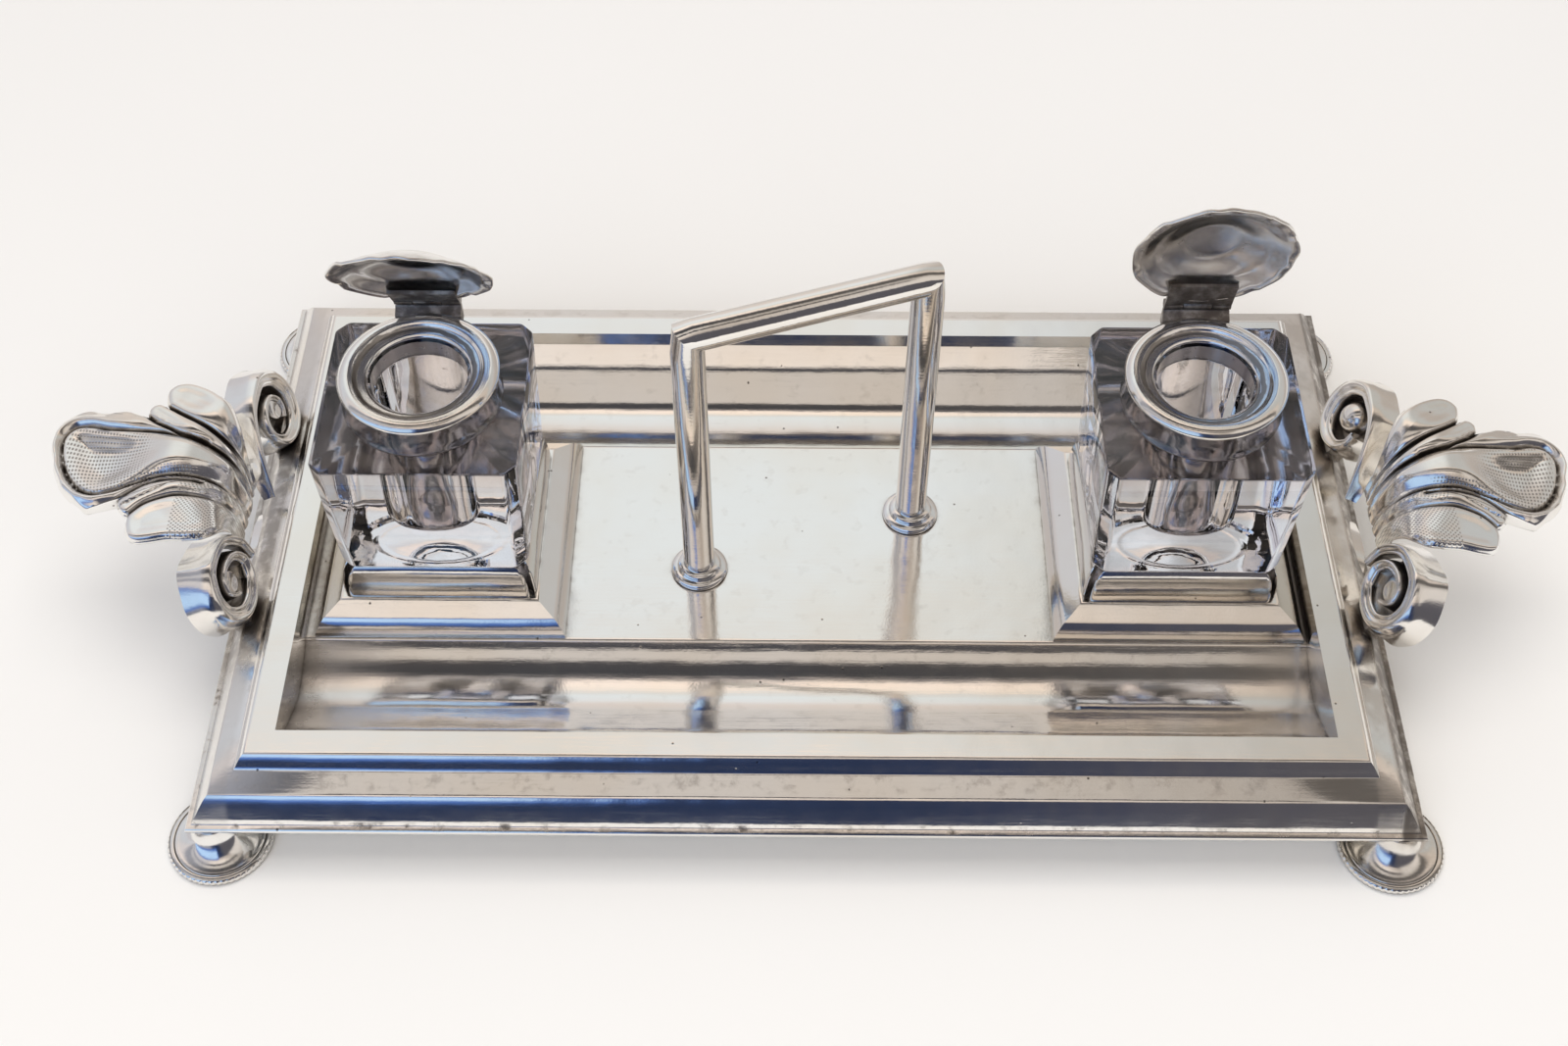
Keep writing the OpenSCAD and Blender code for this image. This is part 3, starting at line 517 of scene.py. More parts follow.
RAIL_TURNS = {"left": {"front": 0, "inner": 90, "back": 180, "outer": 270},
              "right": {"front": 0, "outer": 90, "back": 180, "inner": 270}}
for side, x in BOTTLES.items():
    verts, faces = mitred_ring(PLINTH_W, PLINTH_W, plinth_profile(), (x, 0.0), along=6)
    make_piece(f"plinth_{side}_moulded", verts, faces, M_PLINTH, "tray", [f"plinth_{side}"])
    for place, turn in RAIL_TURNS[side].items():
        verts, faces = rail_mesh(x, turn)
        make_piece(f"seat_{side}_{place}", verts, faces, M_PLINTH, "tray",
                   [f"rail_{side}_{place}"], sharp=40)


# ---- Carry handle with its two flanges ----

def carry_mesh(n=56):
    """Round rod bent square at two mitred corners with rounded outer edges."""
    u = LEG_PITCH / 2
    angles = [2 * pi * i / n for i in range(n)]

    def leg_ring(sgn, z):
        return [(sgn * (u - ROD_R * cos(a)), ROD_R * sin(a), z) for a in angles]

    def corner_rings(sgn):
        """The mitre, pulled in at its outer side for a softened edge, and one ring just below it."""
        mitre = []
        for a in angles:
            ox = -ROD_R * cos(a)
            k = 0.9 * max(0.0, ox / ROD_R) ** 2
            mitre.append((sgn * (u + ox - k), ROD_R * sin(a), BAR_Z + ox - k))
        return [[(x, y, z - 0.45) for x, y, z in mitre], mitre]

    heights = (DECK_Z, DECK_Z + 30, DECK_Z + 60, BAR_Z - 6, BAR_Z - 4.6)
    bar = [[(u * (2 * t - 1), ROD_R * sin(a), BAR_Z - ROD_R * cos(a)) for a in angles]
           for t in (0.02, 0.12, 0.35, 0.65, 0.88, 0.98)]
    rings = [leg_ring(-1, z) for z in heights] + corner_rings(-1) + bar
    rings += corner_rings(1)[::-1] + [leg_ring(1, z) for z in reversed(heights)]
    turn = Matrix.Rotation(radians(CARRY_TURN), 3, "Z")
    return moved([p for ring in rings for p in ring], matrix=turn), tube_faces(len(rings), n)


verts, faces = carry_mesh()
make_piece("carry_rod", verts, faces, M_ROD, "tray", ["carry_handle"], sharp=40)

FLANGE = [(ROD_R - 0.2, 0.05), (7.1, 0.05), (7.38, 0.3), (7.4, 0.75), (7.25, 1.2), (6.85, 1.55),
          (6.2, 1.75), (5.75, 1.85), (5.55, 2.1), (5.5, 2.6), (5.3, 3.05), (4.9, 3.3),
          (4.35, 3.45), (4.12, 3.5), (ROD_R - 0.2, 3.3), (ROD_R - 0.2, 0.05)]
for side, sgn in (("left", -1), ("right", 1)):
    verts, faces = lathe(FLANGE, 64)
    a, out = radians(CARRY_TURN), sgn * LEG_PITCH / 2
    make_piece(f"leg_flange_{side}", moved(verts, (out * cos(a), out * sin(a), DECK_Z)), faces,
               M_ROD, "tray", [f"flange_{side}"])


# ---- Disc feet with a roped edge ----

def foot_mesh(n=432, ropes=54):
    """Disc foot: roped edge, dished plate, hollow cone and the pad under the border."""
    rope = [(12.55, 0.0), (12.95, 0.25), (13.1, 0.7), (13.1, 1.2), (12.95, 1.65), (12.6, 1.9)]
    inside = [(12.35, 1.72), (12.15, 1.8), (11.8, 1.9), (11.5, 1.9), (11.3, 1.55), (11.1, 1.85)]
    cone = [(3.4 + (11.0 - 3.4) * (1 - sin(a)), 1.9 + 8.9 * (1 - cos(a)))
            for a in np.linspace(0, pi / 2, 19)]
    top = [(4.2, 10.9), (5.0, 11.2), (5.0, 12.0), (0.0, 12.0)]
    prof = [(0.0, 0.0)] + rope + inside + cone + top
    first, last = 1, len(rope)

    def wave(a, k):
        if not first <= k <= last:
            return 0.0, 0.0
        s = sin(ropes * a + (k - first) * 0.85)
        depth = (0.0, 0.16, 0.26, 0.26, 0.18, 0.04)[k - first]
        return -depth * (0.5 - 0.5 * s), 0.0

    return lathe(prof, n, wave)


foot_shape = foot_mesh()
for fy, sy in (("front", -1), ("back", 1)):
    for fx, sx in (("left", -1), ("right", 1)):
        place = (sx * (TRAY_W / 2 - FOOT_INSET), sy * (TRAY_D / 2 - FOOT_INSET), 0.0)
        # each foot is turned by its own angle, so that the rope doesn't fall alike on all four
        verts = moved(foot_shape[0], place, Matrix.Rotation(0.7 * sx + 1.9 * sy, 3, "Z"))
        make_piece(f"disc_foot_{fy}_{fx}", verts, foot_shape[1], M_FOOT, "tray",
                   [f"foot_{fy}_{fx}"])


# ---- Side handles: a five-lobed leaf and two scrolls, drawn on the right ----

# Plan of the leaf in millimetres from its root: outward, then toward the back. Each list is
# one lobe's outline, and the lobes follow each other from the back to the front.
LEAF_EDGE = [
    [(0.0, 8.0), (1.2, 13.0), (4.0, 18.6), (8.0, 22.2), (12.0, 24.5), (16.0, 25.8), (19.3, 25.2),
     (21.3, 22.8), (21.0, 19.6), (19.9, 17.3)],
    [(19.9, 17.3), (21.8, 18.4), (23.8, 18.0), (25.0, 16.3), (24.8, 14.2)],
    [(24.8, 14.2), (27.5, 15.3), (30.0, 16.0), (33.0, 16.0), (36.0, 16.0), (39.5, 16.7), (42.5, 16.2),
     (45.3, 14.4), (47.4, 12.3), (48.6, 9.2), (48.0, 5.0), (46.0, -1.6), (43.7, -7.5),
     (41.0, -11.4), (37.4, -14.4), (34.6, -16.6), (31.8, -16.8), (29.4, -15.2), (26.7, -13.9)],
    [(26.7, -13.9), (26.3, -16.0), (24.6, -18.0), (22.9, -18.3)],
    [(22.9, -18.3), (23.3, -20.5), (22.8, -23.4), (21.6, -25.6), (19.6, -26.6), (16.4, -26.4),
     (12.0, -25.6), (7.6, -25.6), (3.6, -24.8), (1.2, -22.0), (0.3, -18.0), (0.0, -13.5)]]
# line round the sunk field of the middle lobe
LEAF_FIELD = [(0.0, 3.4), (2.6, 4.6), (8.3, 6.0), (15.6, 7.6), (23.0, 8.8), (33.1, 9.6), (38.5, 10.9),
              (42.6, 10.6), (45.0, 7.8), (45.0, 3.9), (43.2, -2.0), (40.6, -6.6), (37.2, -10.2),
              (33.0, -11.9), (28.4, -10.9), (23.5, -8.6), (17.9, -6.2), (11.1, -5.2), (5.0, -4.6),
              (1.4, -3.9), (0.0, -3.4)]
# lines that part the lobes, from their notches to the root
LEAF_LINES = [[(19.9, 17.3), (13.9, 13.6), (6.7, 9.9), (1.8, 7.4), (0.0, 6.0)],
              [(24.8, 14.2), (22.0, 12.0), (18.5, 10.0), (14.0, 7.8), (8.3, 6.4)],
              [(26.7, -13.9), (24.0, -11.2), (20.0, -8.4), (14.0, -6.9), (8.0, -6.4)],
              [(22.9, -18.3), (19.6, -14.8), (14.0, -12.4), (8.0, -11.4), (3.5, -10.2), (1.0, -8.4),
               (0.0, -7.0)]]
# the root's reach toward the back and toward the front
LEAF_ROOT_BACK, LEAF_ROOT_FRONT = 8.0, 13.5
LEAF_SCALE = {"left": 1.0, "right": 0.97}
# half the leaf's fan in degrees, and the shortest and longest ray from its root
LEAF_FAN, RAY_MIN, RAY_MAX = 88.0, 0.4, 60.0


def polyline_at(points, t):
    """Point on a Catmull-Rom line through points, t from 0 to 1."""
    n = len(points) - 1
    u = max(0.0, min(n - 1e-9, t * n))
    i = int(u)
    f = u - i
    p = [points[max(0, min(n, k))] for k in (i - 1, i, i + 1, i + 2)]
    return tuple(
        0.5 * (2 * b + (c - a) * f + (2 * a - 5 * b + 4 * c - d) * f * f
               + (3 * b - a - 3 * c + d) * f ** 3)
        for a, b, c, d in zip(*p))


def smooth_line(points, per=6):
    n = (len(points) - 1) * per
    return np.array([polyline_at(points, i / n) for i in range(n + 1)])


def line_distance(points, line):
    """Distance of each plan point from a line of plan points."""
    best = np.full(len(points), 1e9)
    for a, b in zip(line, line[1:]):
        ab = b - a
        t = np.clip(((points - a) @ ab) / max(ab @ ab, 1e-12), 0.0, 1.0)
        best = np.minimum(best, np.linalg.norm(points - a - t[:, None] * ab, axis=1))
    return best


def inside_line(points, line):
    """Even-odd test of plan points against a closed line."""
    x, y = points[:, 0], points[:, 1]
    hit = np.zeros(len(points), bool)
    for (ax, ay), (bx, by) in zip(line, np.roll(line, -1, axis=0)):
        if ay == by:
            continue
        cross = (ay > y) != (by > y)
        hit ^= cross & (x < ax + (y - ay) * (bx - ax) / (by - ay))
    return hit


def dip(distance, width):
    """1 on a line, and less with the distance from it."""
    return np.exp(-(distance / width) ** 2)


def leaf_relief(plan, edge, field, lines):
    """Modelled height above the leaf's sheet, distance from its edge, and strength of stippling."""
    d_edge, d_field = line_distance(plan, edge), line_distance(plan, field)
    d_line = np.min([line_distance(plan, line) for line in lines], axis=0)
    within = inside_line(plan, field)
    out = plan[:, 0]
    # swollen between the lines, and cut along the field's outline and between the lobes
    near = np.minimum(np.minimum(d_edge, d_field), d_line)
    h = 1.5 * (1 - np.exp(-near / 1.3)) - 0.7 * dip(d_edge, 0.45)
    tip = ease((out - 24) / 8)
    h -= (1.3 - 0.6 * tip) * dip(d_field, 0.42 - 0.12 * tip) + 1.4 * dip(d_line, 0.42)
    # the tip's border is raised beside the field and waved along the leaf's edge
    h += np.where(within, 0.0, 0.8 * dip(d_field - 1.7, 1.1) * tip)
    h += np.where(within, 0.0, 0.45 * np.sin(plan[:, 1] * 0.75 + out * 0.5) * np.exp(-d_edge / 1.4) * tip)
    # the field sinks toward the tip, swells near the root and has a fine rib inside its outline
    h += np.where(within, -2.6 * ease(d_field / 8.0) * ease((out - 16) / 16), 0.0)
    h += np.where(within, 1.6 * ease(d_field / 4.0) * (1 - ease((out - 12) / 16)), 0.0)
    h += np.where(within, 0.28 * dip(d_field - 1.05, 0.28) * tip, 0.0)
    # the lobes at the sides are hollow
    reach = np.hypot(out, plan[:, 1])
    sides = ~within & (np.abs(plan[:, 1]) > 0.62 * out)
    h -= np.where(sides, 0.9 * ease(np.minimum(d_edge, d_line) / 4.5) * ease((reach - 15) / 9), 0.0)
    # stippled are the field's outer half, its front edge, and the front lobe near the root
    stipple = np.where(within, ease((out - 19) / 8) * ease((d_field - 1.2) / 0.6), 0.0)
    low = within & (plan[:, 1] < 0)
    stipple = np.maximum(stipple, np.where(low, ease((out - 8) / 6) * ease((2.4 - d_field) / 0.6), 0.0))
    hatched = sides & (plan[:, 1] < 0) & (out < 12)
    stipple = np.maximum(stipple, np.where(hatched, 0.8 * ease((d_line - 0.7) / 0.6), 0.0))
    # the modelling dies away where the leaf joins its root
    return h * (0.3 + 0.7 * ease(out / 5.0)), d_edge, stipple


def leaf_side():
    """The leaf's sheet seen from the side: up from the root, a round turn and a falling reach."""
    fall, fall_over, reach = 1.5, 29.0, 36.0
    side = [(0.0, ROOT_Z - 1.6)]
    side += [(LEAF_TURN * (1 - cos(a)), ROOT_Z + LEAF_RISE * sin(a))
             for a in np.linspace(0, pi / 2, 31)]
    side += [(LEAF_TURN + out, ROOT_Z + LEAF_RISE - fall * (out / fall_over) ** 2)
             for out in np.linspace(0, reach, 31)[1:]]
    return np.array(side)


def ray_reach(edge, start_y, ahead_x, ahead_y):
    """First place where a ray from (0, start_y) leaves the leaf's outline."""
    reach = 1e9
    for (ax, ay), (bx, by) in zip(edge, edge[1:]):
        ex, ey = bx - ax, by - ay
        det = ex * ahead_y - ey * ahead_x
        if abs(det) < 1e-12:
            continue
        s = (ex * (ay - start_y) - ey * ax) / det
        u = (ahead_x * (ay - start_y) - ahead_y * ax) / det
        if -1e-6 <= u <= 1 + 1e-6 and RAY_MIN < s < reach:
            reach = s
    return reach if reach <= RAY_MAX else RAY_MIN


def leaf_mesh(scale, columns=380, rows=96, thick=2.2):
    """The leaf as one cast sheet that rises from the root and turns outward in every direction."""
    # the side line by the length run along it, and its slope there
    side = leaf_side()
    run = np.concatenate([[0.0], np.cumsum(np.linalg.norm(np.diff(side, axis=0), axis=1))])
    even = np.linspace(0, run[-1], 400)
    slope_s, slope_z = (np.gradient(np.interp(even, run, side[:, k])) for k in (0, 1))
    edge = np.concatenate([smooth_line(part)[:-1] for part in LEAF_EDGE] + [[LEAF_EDGE[-1][-1]]]) * scale
    field = smooth_line(LEAF_FIELD) * scale
    lines = [smooth_line(line) * scale for line in LEAF_LINES]

    # rays fan out from the root; plan holds (out, along), and sheet its height and normal
    plan, sheet = [], []
    for i in range(columns + 1):
        share = 1 - 2 * i / columns
        turn = radians(LEAF_FAN * share)
        start_y = (LEAF_ROOT_BACK if share > 0 else LEAF_ROOT_FRONT) * scale * share
        ahead_x, ahead_y = cos(turn), sin(turn)
        last = np.interp(ray_reach(edge, start_y, ahead_x, ahead_y), side[1:, 0], run[1:])
        dist = last * (1 - (1 - np.linspace(0, 1, rows + 1)) ** 1.35)
        s, z = (np.interp(dist, run, side[:, k]) for k in (0, 1))
        ds, dz = (np.interp(dist, even, slope) for slope in (slope_s, slope_z))
        size = np.hypot(ds, dz)
        plan.append(np.column_stack([s * ahead_x, start_y + s * ahead_y]))
        sheet.append(np.column_stack([z, -dz / size * ahead_x, -dz / size * ahead_y, ds / size]))
    plan, sheet = np.concatenate(plan), np.concatenate(sheet)
    # raised by the modelling along the normal, and thinned round at the edge
    h, d_edge, stipple = leaf_relief(plan, edge, field, lines)
    place = np.column_stack([plan[:, 0] + ROOT_X, plan[:, 1], sheet[:, 0]])
    normal = sheet[:, 1:]
    top = place + normal * h[:, None]
    depth = thick * np.sqrt(1 - (1 - np.clip(d_edge / 1.2, 0, 1)) ** 2) + 0.02
    low = top - normal * depth[:, None]
    verts = [tuple(p) for p in np.concatenate([top, low])]
    n, cols = len(top), rows + 1
    top_faces = grid_faces(columns + 1, cols)
    faces = top_faces + [tuple(reversed([i + n for i in f])) for f in top_faces]
    rim = [(i * cols + j, (i + 1) * cols + j) for i in range(columns) for j in (0, rows)]
    rim += [(i * cols + j, i * cols + j + 1) for j in range(rows) for i in (0, columns)]
    faces += [(a, b, b + n, a + n) for a, b in rim]
    return verts, faces, list(stipple) + [0.0] * n


# across the band: share of its width from the outer edge, height of the face, share of depth
SCROLL_SECTION = (
    [(0.0, 0.0, 1.0), (0.0, 0.0, 0.7), (0.0, 0.0, 0.42), (0.01, 0.0, 0.28), (0.03, 0.0, 0.18),
     (0.065, 0.0, 0.10), (0.11, 0.1, 0.04)]
    + [(share, up, 0.0) for share, up in
       ((0.17, 0.5), (0.24, 0.92), (0.33, 1.15), (0.43, 1.1), (0.54, 0.86), (0.64, 0.5), (0.71, 0.18),
        (0.75, 0.22), (0.82, 0.45), (0.89, 0.42), (0.95, 0.16), (1.0, -0.3))]
    + [(1.0, 0.0, 0.3), (0.98, 0.0, 0.62), (0.9, 0.0, 1.0)])
# turned eye in the middle of a scroll: (radius, height) lines
SCROLL_EYE = {
    "ball": [(4.9 * sin(a), -3.6 + 4.9 * cos(a))
             for a in np.linspace(0, 0.62 * pi, 19)] + [(0.0, -6.6)],
    "disc": [(0.0, -0.1), (2.0, -0.1), (2.35, 0.05), (2.7, -0.05), (2.9, -0.5), (2.9, -6.0), (0.0, -6.0)],
    "flat": [(0.0, -0.75), (1.6, -0.65), (2.4, -0.3), (2.9, -0.2), (3.1, -0.7), (3.1, -6.0), (0.0, -6.0)]}
# sunk plate behind the band
SCROLL_PLATE = [(0.0, -4.4), (4.0, -4.5), (7.2, -4.3), (9.2, -3.9), (9.6, -4.6), (9.6, -7.2), (0.0, -7.4)]
# place of the scrolls' plane, and the lean of their faces in degrees
SCROLL_X, SCROLL_Z, SCROLL_LEAN = TRAY_W / 2 - 4.7, FOOT_H + 20.0, 23.5


def scroll_point(xs, ys, zs):
    """Scroll plane to handle: xs along the depth, ys up the leaning face, zs toward the tray."""
    lean = radians(SCROLL_LEAN)
    x, y, z = -zs, -xs, ys
    x, z = x * cos(lean) + z * sin(lean), -x * sin(lean) + z * cos(lean)
    return (SCROLL_X + x, y, SCROLL_Z + z)


# Scroll band round its centre: tail points (x, y, width), then turns (degrees, radius, width).
# The face's outer edge follows this line clockwise.
SCROLL_TAIL = [(-26.0, -7.0, 0.9), (-21.6, -1.2, 2.2), (-17.6, 3.4, 3.0), (-13.2, 7.2, 3.4),
               (-8.4, 9.9, 3.8)]
SCROLL_TURN = [(105, 11.3, 4.2), (68, 11.3, 4.9), (25, 11.6, 5.5), (-15, 11.9, 5.6), (-55, 11.8, 5.3),
               (-91, 11.4, 4.7), (-128, 11.2, 3.9), (-160, 10.8, 3.4), (-184, 9.7, 3.2), (-206, 8.1, 2.9),
               (-230, 6.3, 2.6), (-258, 5.0, 2.3), (-300, 4.3, 2.0), (-360, 4.2, 1.9), (-405, 4.4, 1.7),
               (-440, 4.9, 1.2)]
# The front scrolls have no tail: their band starts at the border, beside the root
SCROLL_START = [(204, 14.4, 2.2), (176, 13.8, 3.0), (140, 12.7, 3.7)]
# centre and shape of each scroll: along Y, up the face, size, stretch along Y, eye
SCROLLS = {"left": {1: (33.0, -1.0, 1.0, 1.0, "flat"), -1: (26.8, 0.4, 0.93, 1.1, "flat")},
           "right": {1: (32.6, -0.6, 0.95, 1.0, "ball"), -1: (26.8, 0.0, 0.95, 1.08, "disc")}}


def scroll_mesh(sgn, place_y, lift, size, stretch, eye):
    """Scroll band with its sunk plate and eye. sgn is its side along Y."""
    knots = list(SCROLL_TAIL) if sgn > 0 else []
    turns = SCROLL_START + SCROLL_TURN if sgn < 0 else SCROLL_TURN
    # round a ball the band ends after its first turn
    turns = turns[:9] if eye == "ball" else turns
    knots += [(r * cos(radians(a)), r * sin(radians(a)), w) for a, r, w in turns]
    per_knot = 12
    path = smooth_line(knots, per_knot)
    verts = []
    for k, (px, py, width) in enumerate(path):
        ahead_x, ahead_y = path[min(k + 1, len(path) - 1)][:2] - path[max(k - 1, 0)][:2]
        m = hypot(ahead_x, ahead_y)
        in_x, in_y = ahead_y / m, -ahead_x / m
        # the band starts thin and gets shallower again toward the eye
        depth = (7.6 - 1.6 * ease((k - 190) / 60)) * (0.35 + 0.65 * ease(k / 36))
        # its outer side flares toward the back, in waves
        flare = 0.55 + 0.75 * max(0.0, sin(k / per_knot * 1.9 + 0.8)) ** 2
        for c, up, back in SCROLL_SECTION:
            out = -flare * back * back if c < 0.05 else 0.0
            x = (px + in_x * (width * c + out)) * size * stretch
            y = (py + in_y * (width * c + out)) * size
            z = up * min(1.0, width / 3.4) - depth * back
            verts.append(scroll_point(-sgn * (place_y + x), y + lift, z))
    parts = [(verts, tube_faces(len(path), len(SCROLL_SECTION)))]
    for prof in (SCROLL_PLATE, SCROLL_EYE[eye]):
        v, f = lathe(prof, 64)
        parts.append(([scroll_point(-sgn * (place_y + x * stretch * size), y * size + lift, z)
                       for x, y, z in v], f))
    # lug that carries the scroll on the border
    lug = [scroll_point(-sgn * (place_y + dx), dy, dz) for dz in (-1.6, -7.2)
           for dx, dy in ((-4.2, -17.0), (-4.6, -7.0), (4.6, -7.0), (4.2, -17.0))]
    return joined(*parts, (lug, tube_faces(2, 4)))


def root_mesh():
    """Foot block between the leaf and the scrolls, soldered to the border."""
    prof = [(-8.6, -17.0), (-9.4, -15.0), (-7.0, -13.4), (-3.0, -12.6), (3.0, -12.6), (7.0, -13.4),
            (9.4, -15.0), (8.6, -17.0)]
    return [scroll_point(x, y, z) for z in (-3.6, -8.8) for x, y in prof], tube_faces(2, len(prof))


for side in ("left", "right"):
    verts, faces, stipple = leaf_mesh(LEAF_SCALE[side])
    parts = [(verts, faces)] + [scroll_mesh(sgn, *spec) for sgn, spec in SCROLLS[side].items()]
    verts, faces = joined(*parts, root_mesh())
    verts = swung(verts, (ROOT_X, 0.0, FOOT_H), LEAN[side], "Y")
    if side == "left":
        verts = [(-x, y, z) for x, y, z in verts]
    make_piece(f"leaf_scroll_{side}", verts, faces, M_CAST, "tray",
               [f"side_handle_{side}"], sharp=62, marks=stipple)


# ---- Glass bottles ----

def square_ring(half, cant, soft, sides=6, arc=4):
    """Outline of a square with canted, softened corners, as points round the centre."""
    c = cant / sqrt(2)
    corners = [Vector((px * cos(a) - py * sin(a), px * sin(a) + py * cos(a)))
               for a in (0, pi / 2, pi, 3 * pi / 2) for px, py in ((half, half - c), (half - c, half))]
    out = []
    for i, q in enumerate(corners):
        p, r = corners[i - 1], corners[(i + 1) % len(corners)]
        a, b = (q + (end - q).normalized() * soft for end in (p, r))
        out += [(1 - t) ** 2 * a + 2 * t * (1 - t) * q + t * t * b
                for t in (s / arc for s in range(arc + 1))]
        # more points on the flat sides, and none on the cants
        if i % 2 == 1:
            side_end = r + (q - r).normalized() * soft
            out += [b + (side_end - b) * s / sides for s in range(1, sides)]
    return out


def bottle_mesh(x):
    """Square bottle from its underside up over the shoulder and neck, and down the well."""
    ref = square_ring(BOTTLE_HALF, BOTTLE_CANT, 0.8)
    angles = [atan2(q, p) for p, q in ref]
    rings = []

    def square(inset, z, soft=0.8):
        rings.append([(p, q, z) for p, q in square_ring(BOTTLE_HALF - inset, BOTTLE_CANT, soft)])

    def circle(r, z):
        rings.append([(r * cos(a), r * sin(a), z) for a in angles])

    # underside: shallow ground punt with one fine ring, round base, rounded lower edge
    for r in (0.01, 2.0, 4.0, 6.0, 8.0, 10.0, 12.0, 14.0, 15.4, 15.9, 16.4, 17.5, 19.0, 19.9):
        circle(r, RAIL_Z - 0.6 - 0.9 * ease(r / 17.5) + (0.12 if r == 15.9 else 0.0))
    circle(20.5, RAIL_Z - 1.0)
    circle(20.6, RAIL_Z)
    base_in, base_r = 1.1, 1.6
    for a in np.linspace(0, pi / 2, 7):
        square(base_in + base_r * (1 - sin(a)), RAIL_Z + base_r * (1 - cos(a)), 1.2)
    for t in (0.25, 0.5, 0.75):
        square(base_in * (1 - t), RAIL_Z + base_r + (SHOULDER_Z - 0.6 - RAIL_Z - base_r) * t)
    square(0.0, SHOULDER_Z - 0.5)
    square(0.12, SHOULDER_Z - 0.2)
    square(0.5, SHOULDER_Z)
    floor = RAIL_Z + 7.6
    neck = [(15.9, SHOULDER_Z), (15.4, SHOULDER_Z + 0.4), (15.4, NECK_Z - 0.4), (15.1, NECK_Z)]
    well = [(12.3, NECK_Z), (11.8, NECK_Z - 0.5), (11.75, NECK_Z - 10), (11.7, floor + 12),
            (11.6, floor + 3.6)]
    for r, z in neck + well:
        circle(r, z)
    for a in np.linspace(0, pi / 2, 9)[1:]:
        circle(11.6 - 3.5 * (1 - cos(a)), floor + 3.5 * (1 - sin(a)))
    for r, sunk in ((5.0, 0.25), (2.5, 0.35), (0.01, 0.38)):
        circle(r, floor - sunk)
    verts = [(p + x, q, z) for ring in rings for p, q, z in ring]
    return verts, grid_faces(len(rings), len(ref), wrap_cols=True)


# ---- Collars and lids ----

def collar_profile():
    """Collar: straight side and one broad roll that falls gently inward to the mouth."""
    side = [(r, SHOULDER_Z + up) for r, up in
            ((15.5, 0.0), (19.2, 0.0), (19.6, 0.25), (19.7, 0.7), (19.45, 1.2), (19.4, 3.0), (19.45, 5.6))]
    side += [(r, COLLAR_Z - down) for r, down in ((19.6, 1.9), (19.7, 1.5), (19.62, 1.1))]
    roll = [(r, COLLAR_Z - 0.16 * (r - 17.2) ** 2 - 0.02 * (r - 17.2) ** 4)
            for r in np.linspace(19.35, 15.1, 21)]
    fall = [(r, COLLAR_Z - down) for r, down in
            ((14.8, 1.24), (14.5, 1.33), (14.1, 1.42), (13.7, 1.5), (13.3, 1.6), (13.0, 1.72),
             (12.75, 1.88), (12.55, 2.08), (12.4, 2.3))]
    # a little air between the collar and the top of the neck
    air = 0.06
    return side + roll + fall + [(12.4, NECK_Z + air), (15.5, NECK_Z + air), (15.5, SHOULDER_Z)]


def lid_mesh():
    """Stamped lid: thin wavy rim, hollow wall, ring step and crown, with an inner and outer skin."""
    wall_r, crown_r, skin = 18.6, 15.2, 0.75
    inner = [(19.45, 0.05), (19.1, 0.02), (18.8, 0.1)]
    inner += [(r, 0.14 + 2.2 * ease((wall_r - r) / 5.2) + 2.75 * ease((crown_r - r) / 9.5))
              for r in np.linspace(wall_r, 0, 45)[1:]]
    outer = [(0.0, inner[-1][1] + skin)]
    outer += [(r + 0.08, z + skin) for r, z in reversed(inner[:-1])]
    outer += [(19.66, 0.7), (19.7, 0.4), (19.6, 0.12), (19.45, 0.05)]
    prof = list(reversed(inner)) + list(reversed(outer))[1:]

    def wave(a, k):
        r = prof[k][0]
        f = ease((r - 16.5) / 3.0)
        dz = 0.26 * sin(7 * a + 0.6) + 0.18 * sin(13 * a + 2.0) + 0.1 * sin(23 * a)
        return -0.16 * f * (1 + sin(11 * a)), f * max(-0.05, dz)

    return lathe(prof, 180, wave)


def prism(prof, x0, x1, soft=0.18):
    """Closed line of (y, z) points drawn out along x, with softened ends."""
    centre_y, centre_z = np.mean(prof, axis=0)
    verts = []
    for x, pull in ((x0, soft), (x0 + soft * 0.3, soft * 0.3), (x0 + soft, 0.0), ((x0 + x1) / 2, 0.0),
                    (x1 - soft, 0.0), (x1 - soft * 0.3, soft * 0.3), (x1, soft)):
        for y, z in prof:
            m = max(1e-6, hypot(y - centre_y, z - centre_z))
            verts.append((x, y - (y - centre_y) / m * pull, z - (z - centre_z) / m * pull))
    return verts, tube_faces(7, len(prof))


def hinge_leaf_mesh():
    """Plate soldered up the back of the collar, as wide as the hinge, with its middle knuckle."""
    low, high = COLLAR_Z - 4.9, HINGE_Z - KNUCKLE_R - 0.2
    leaf = [(19.0, low), (HINGE_Y + 0.35, low), (HINGE_Y + 0.5, low + 0.2), (HINGE_Y + 0.5, high - 0.25),
            (HINGE_Y + 0.25, high), (HINGE_Y - 0.6, high), (20.9, high - 0.5), (19.4, high - 1.2),
            (19.0, high - 1.5)]
    knuckle = [(HINGE_Y + KNUCKLE_R * cos(a), HINGE_Z + KNUCKLE_R * sin(a))
               for a in np.linspace(radians(-60), radians(240), 29)]
    knuckle += [(HINGE_Y - 0.62, low + 1.0), (HINGE_Y + 0.48, low + 1.0)]
    return joined(prism(leaf, -HINGE_W / 2, HINGE_W / 2), prism(knuckle, -KNUCKLE_W / 2, KNUCKLE_W / 2))


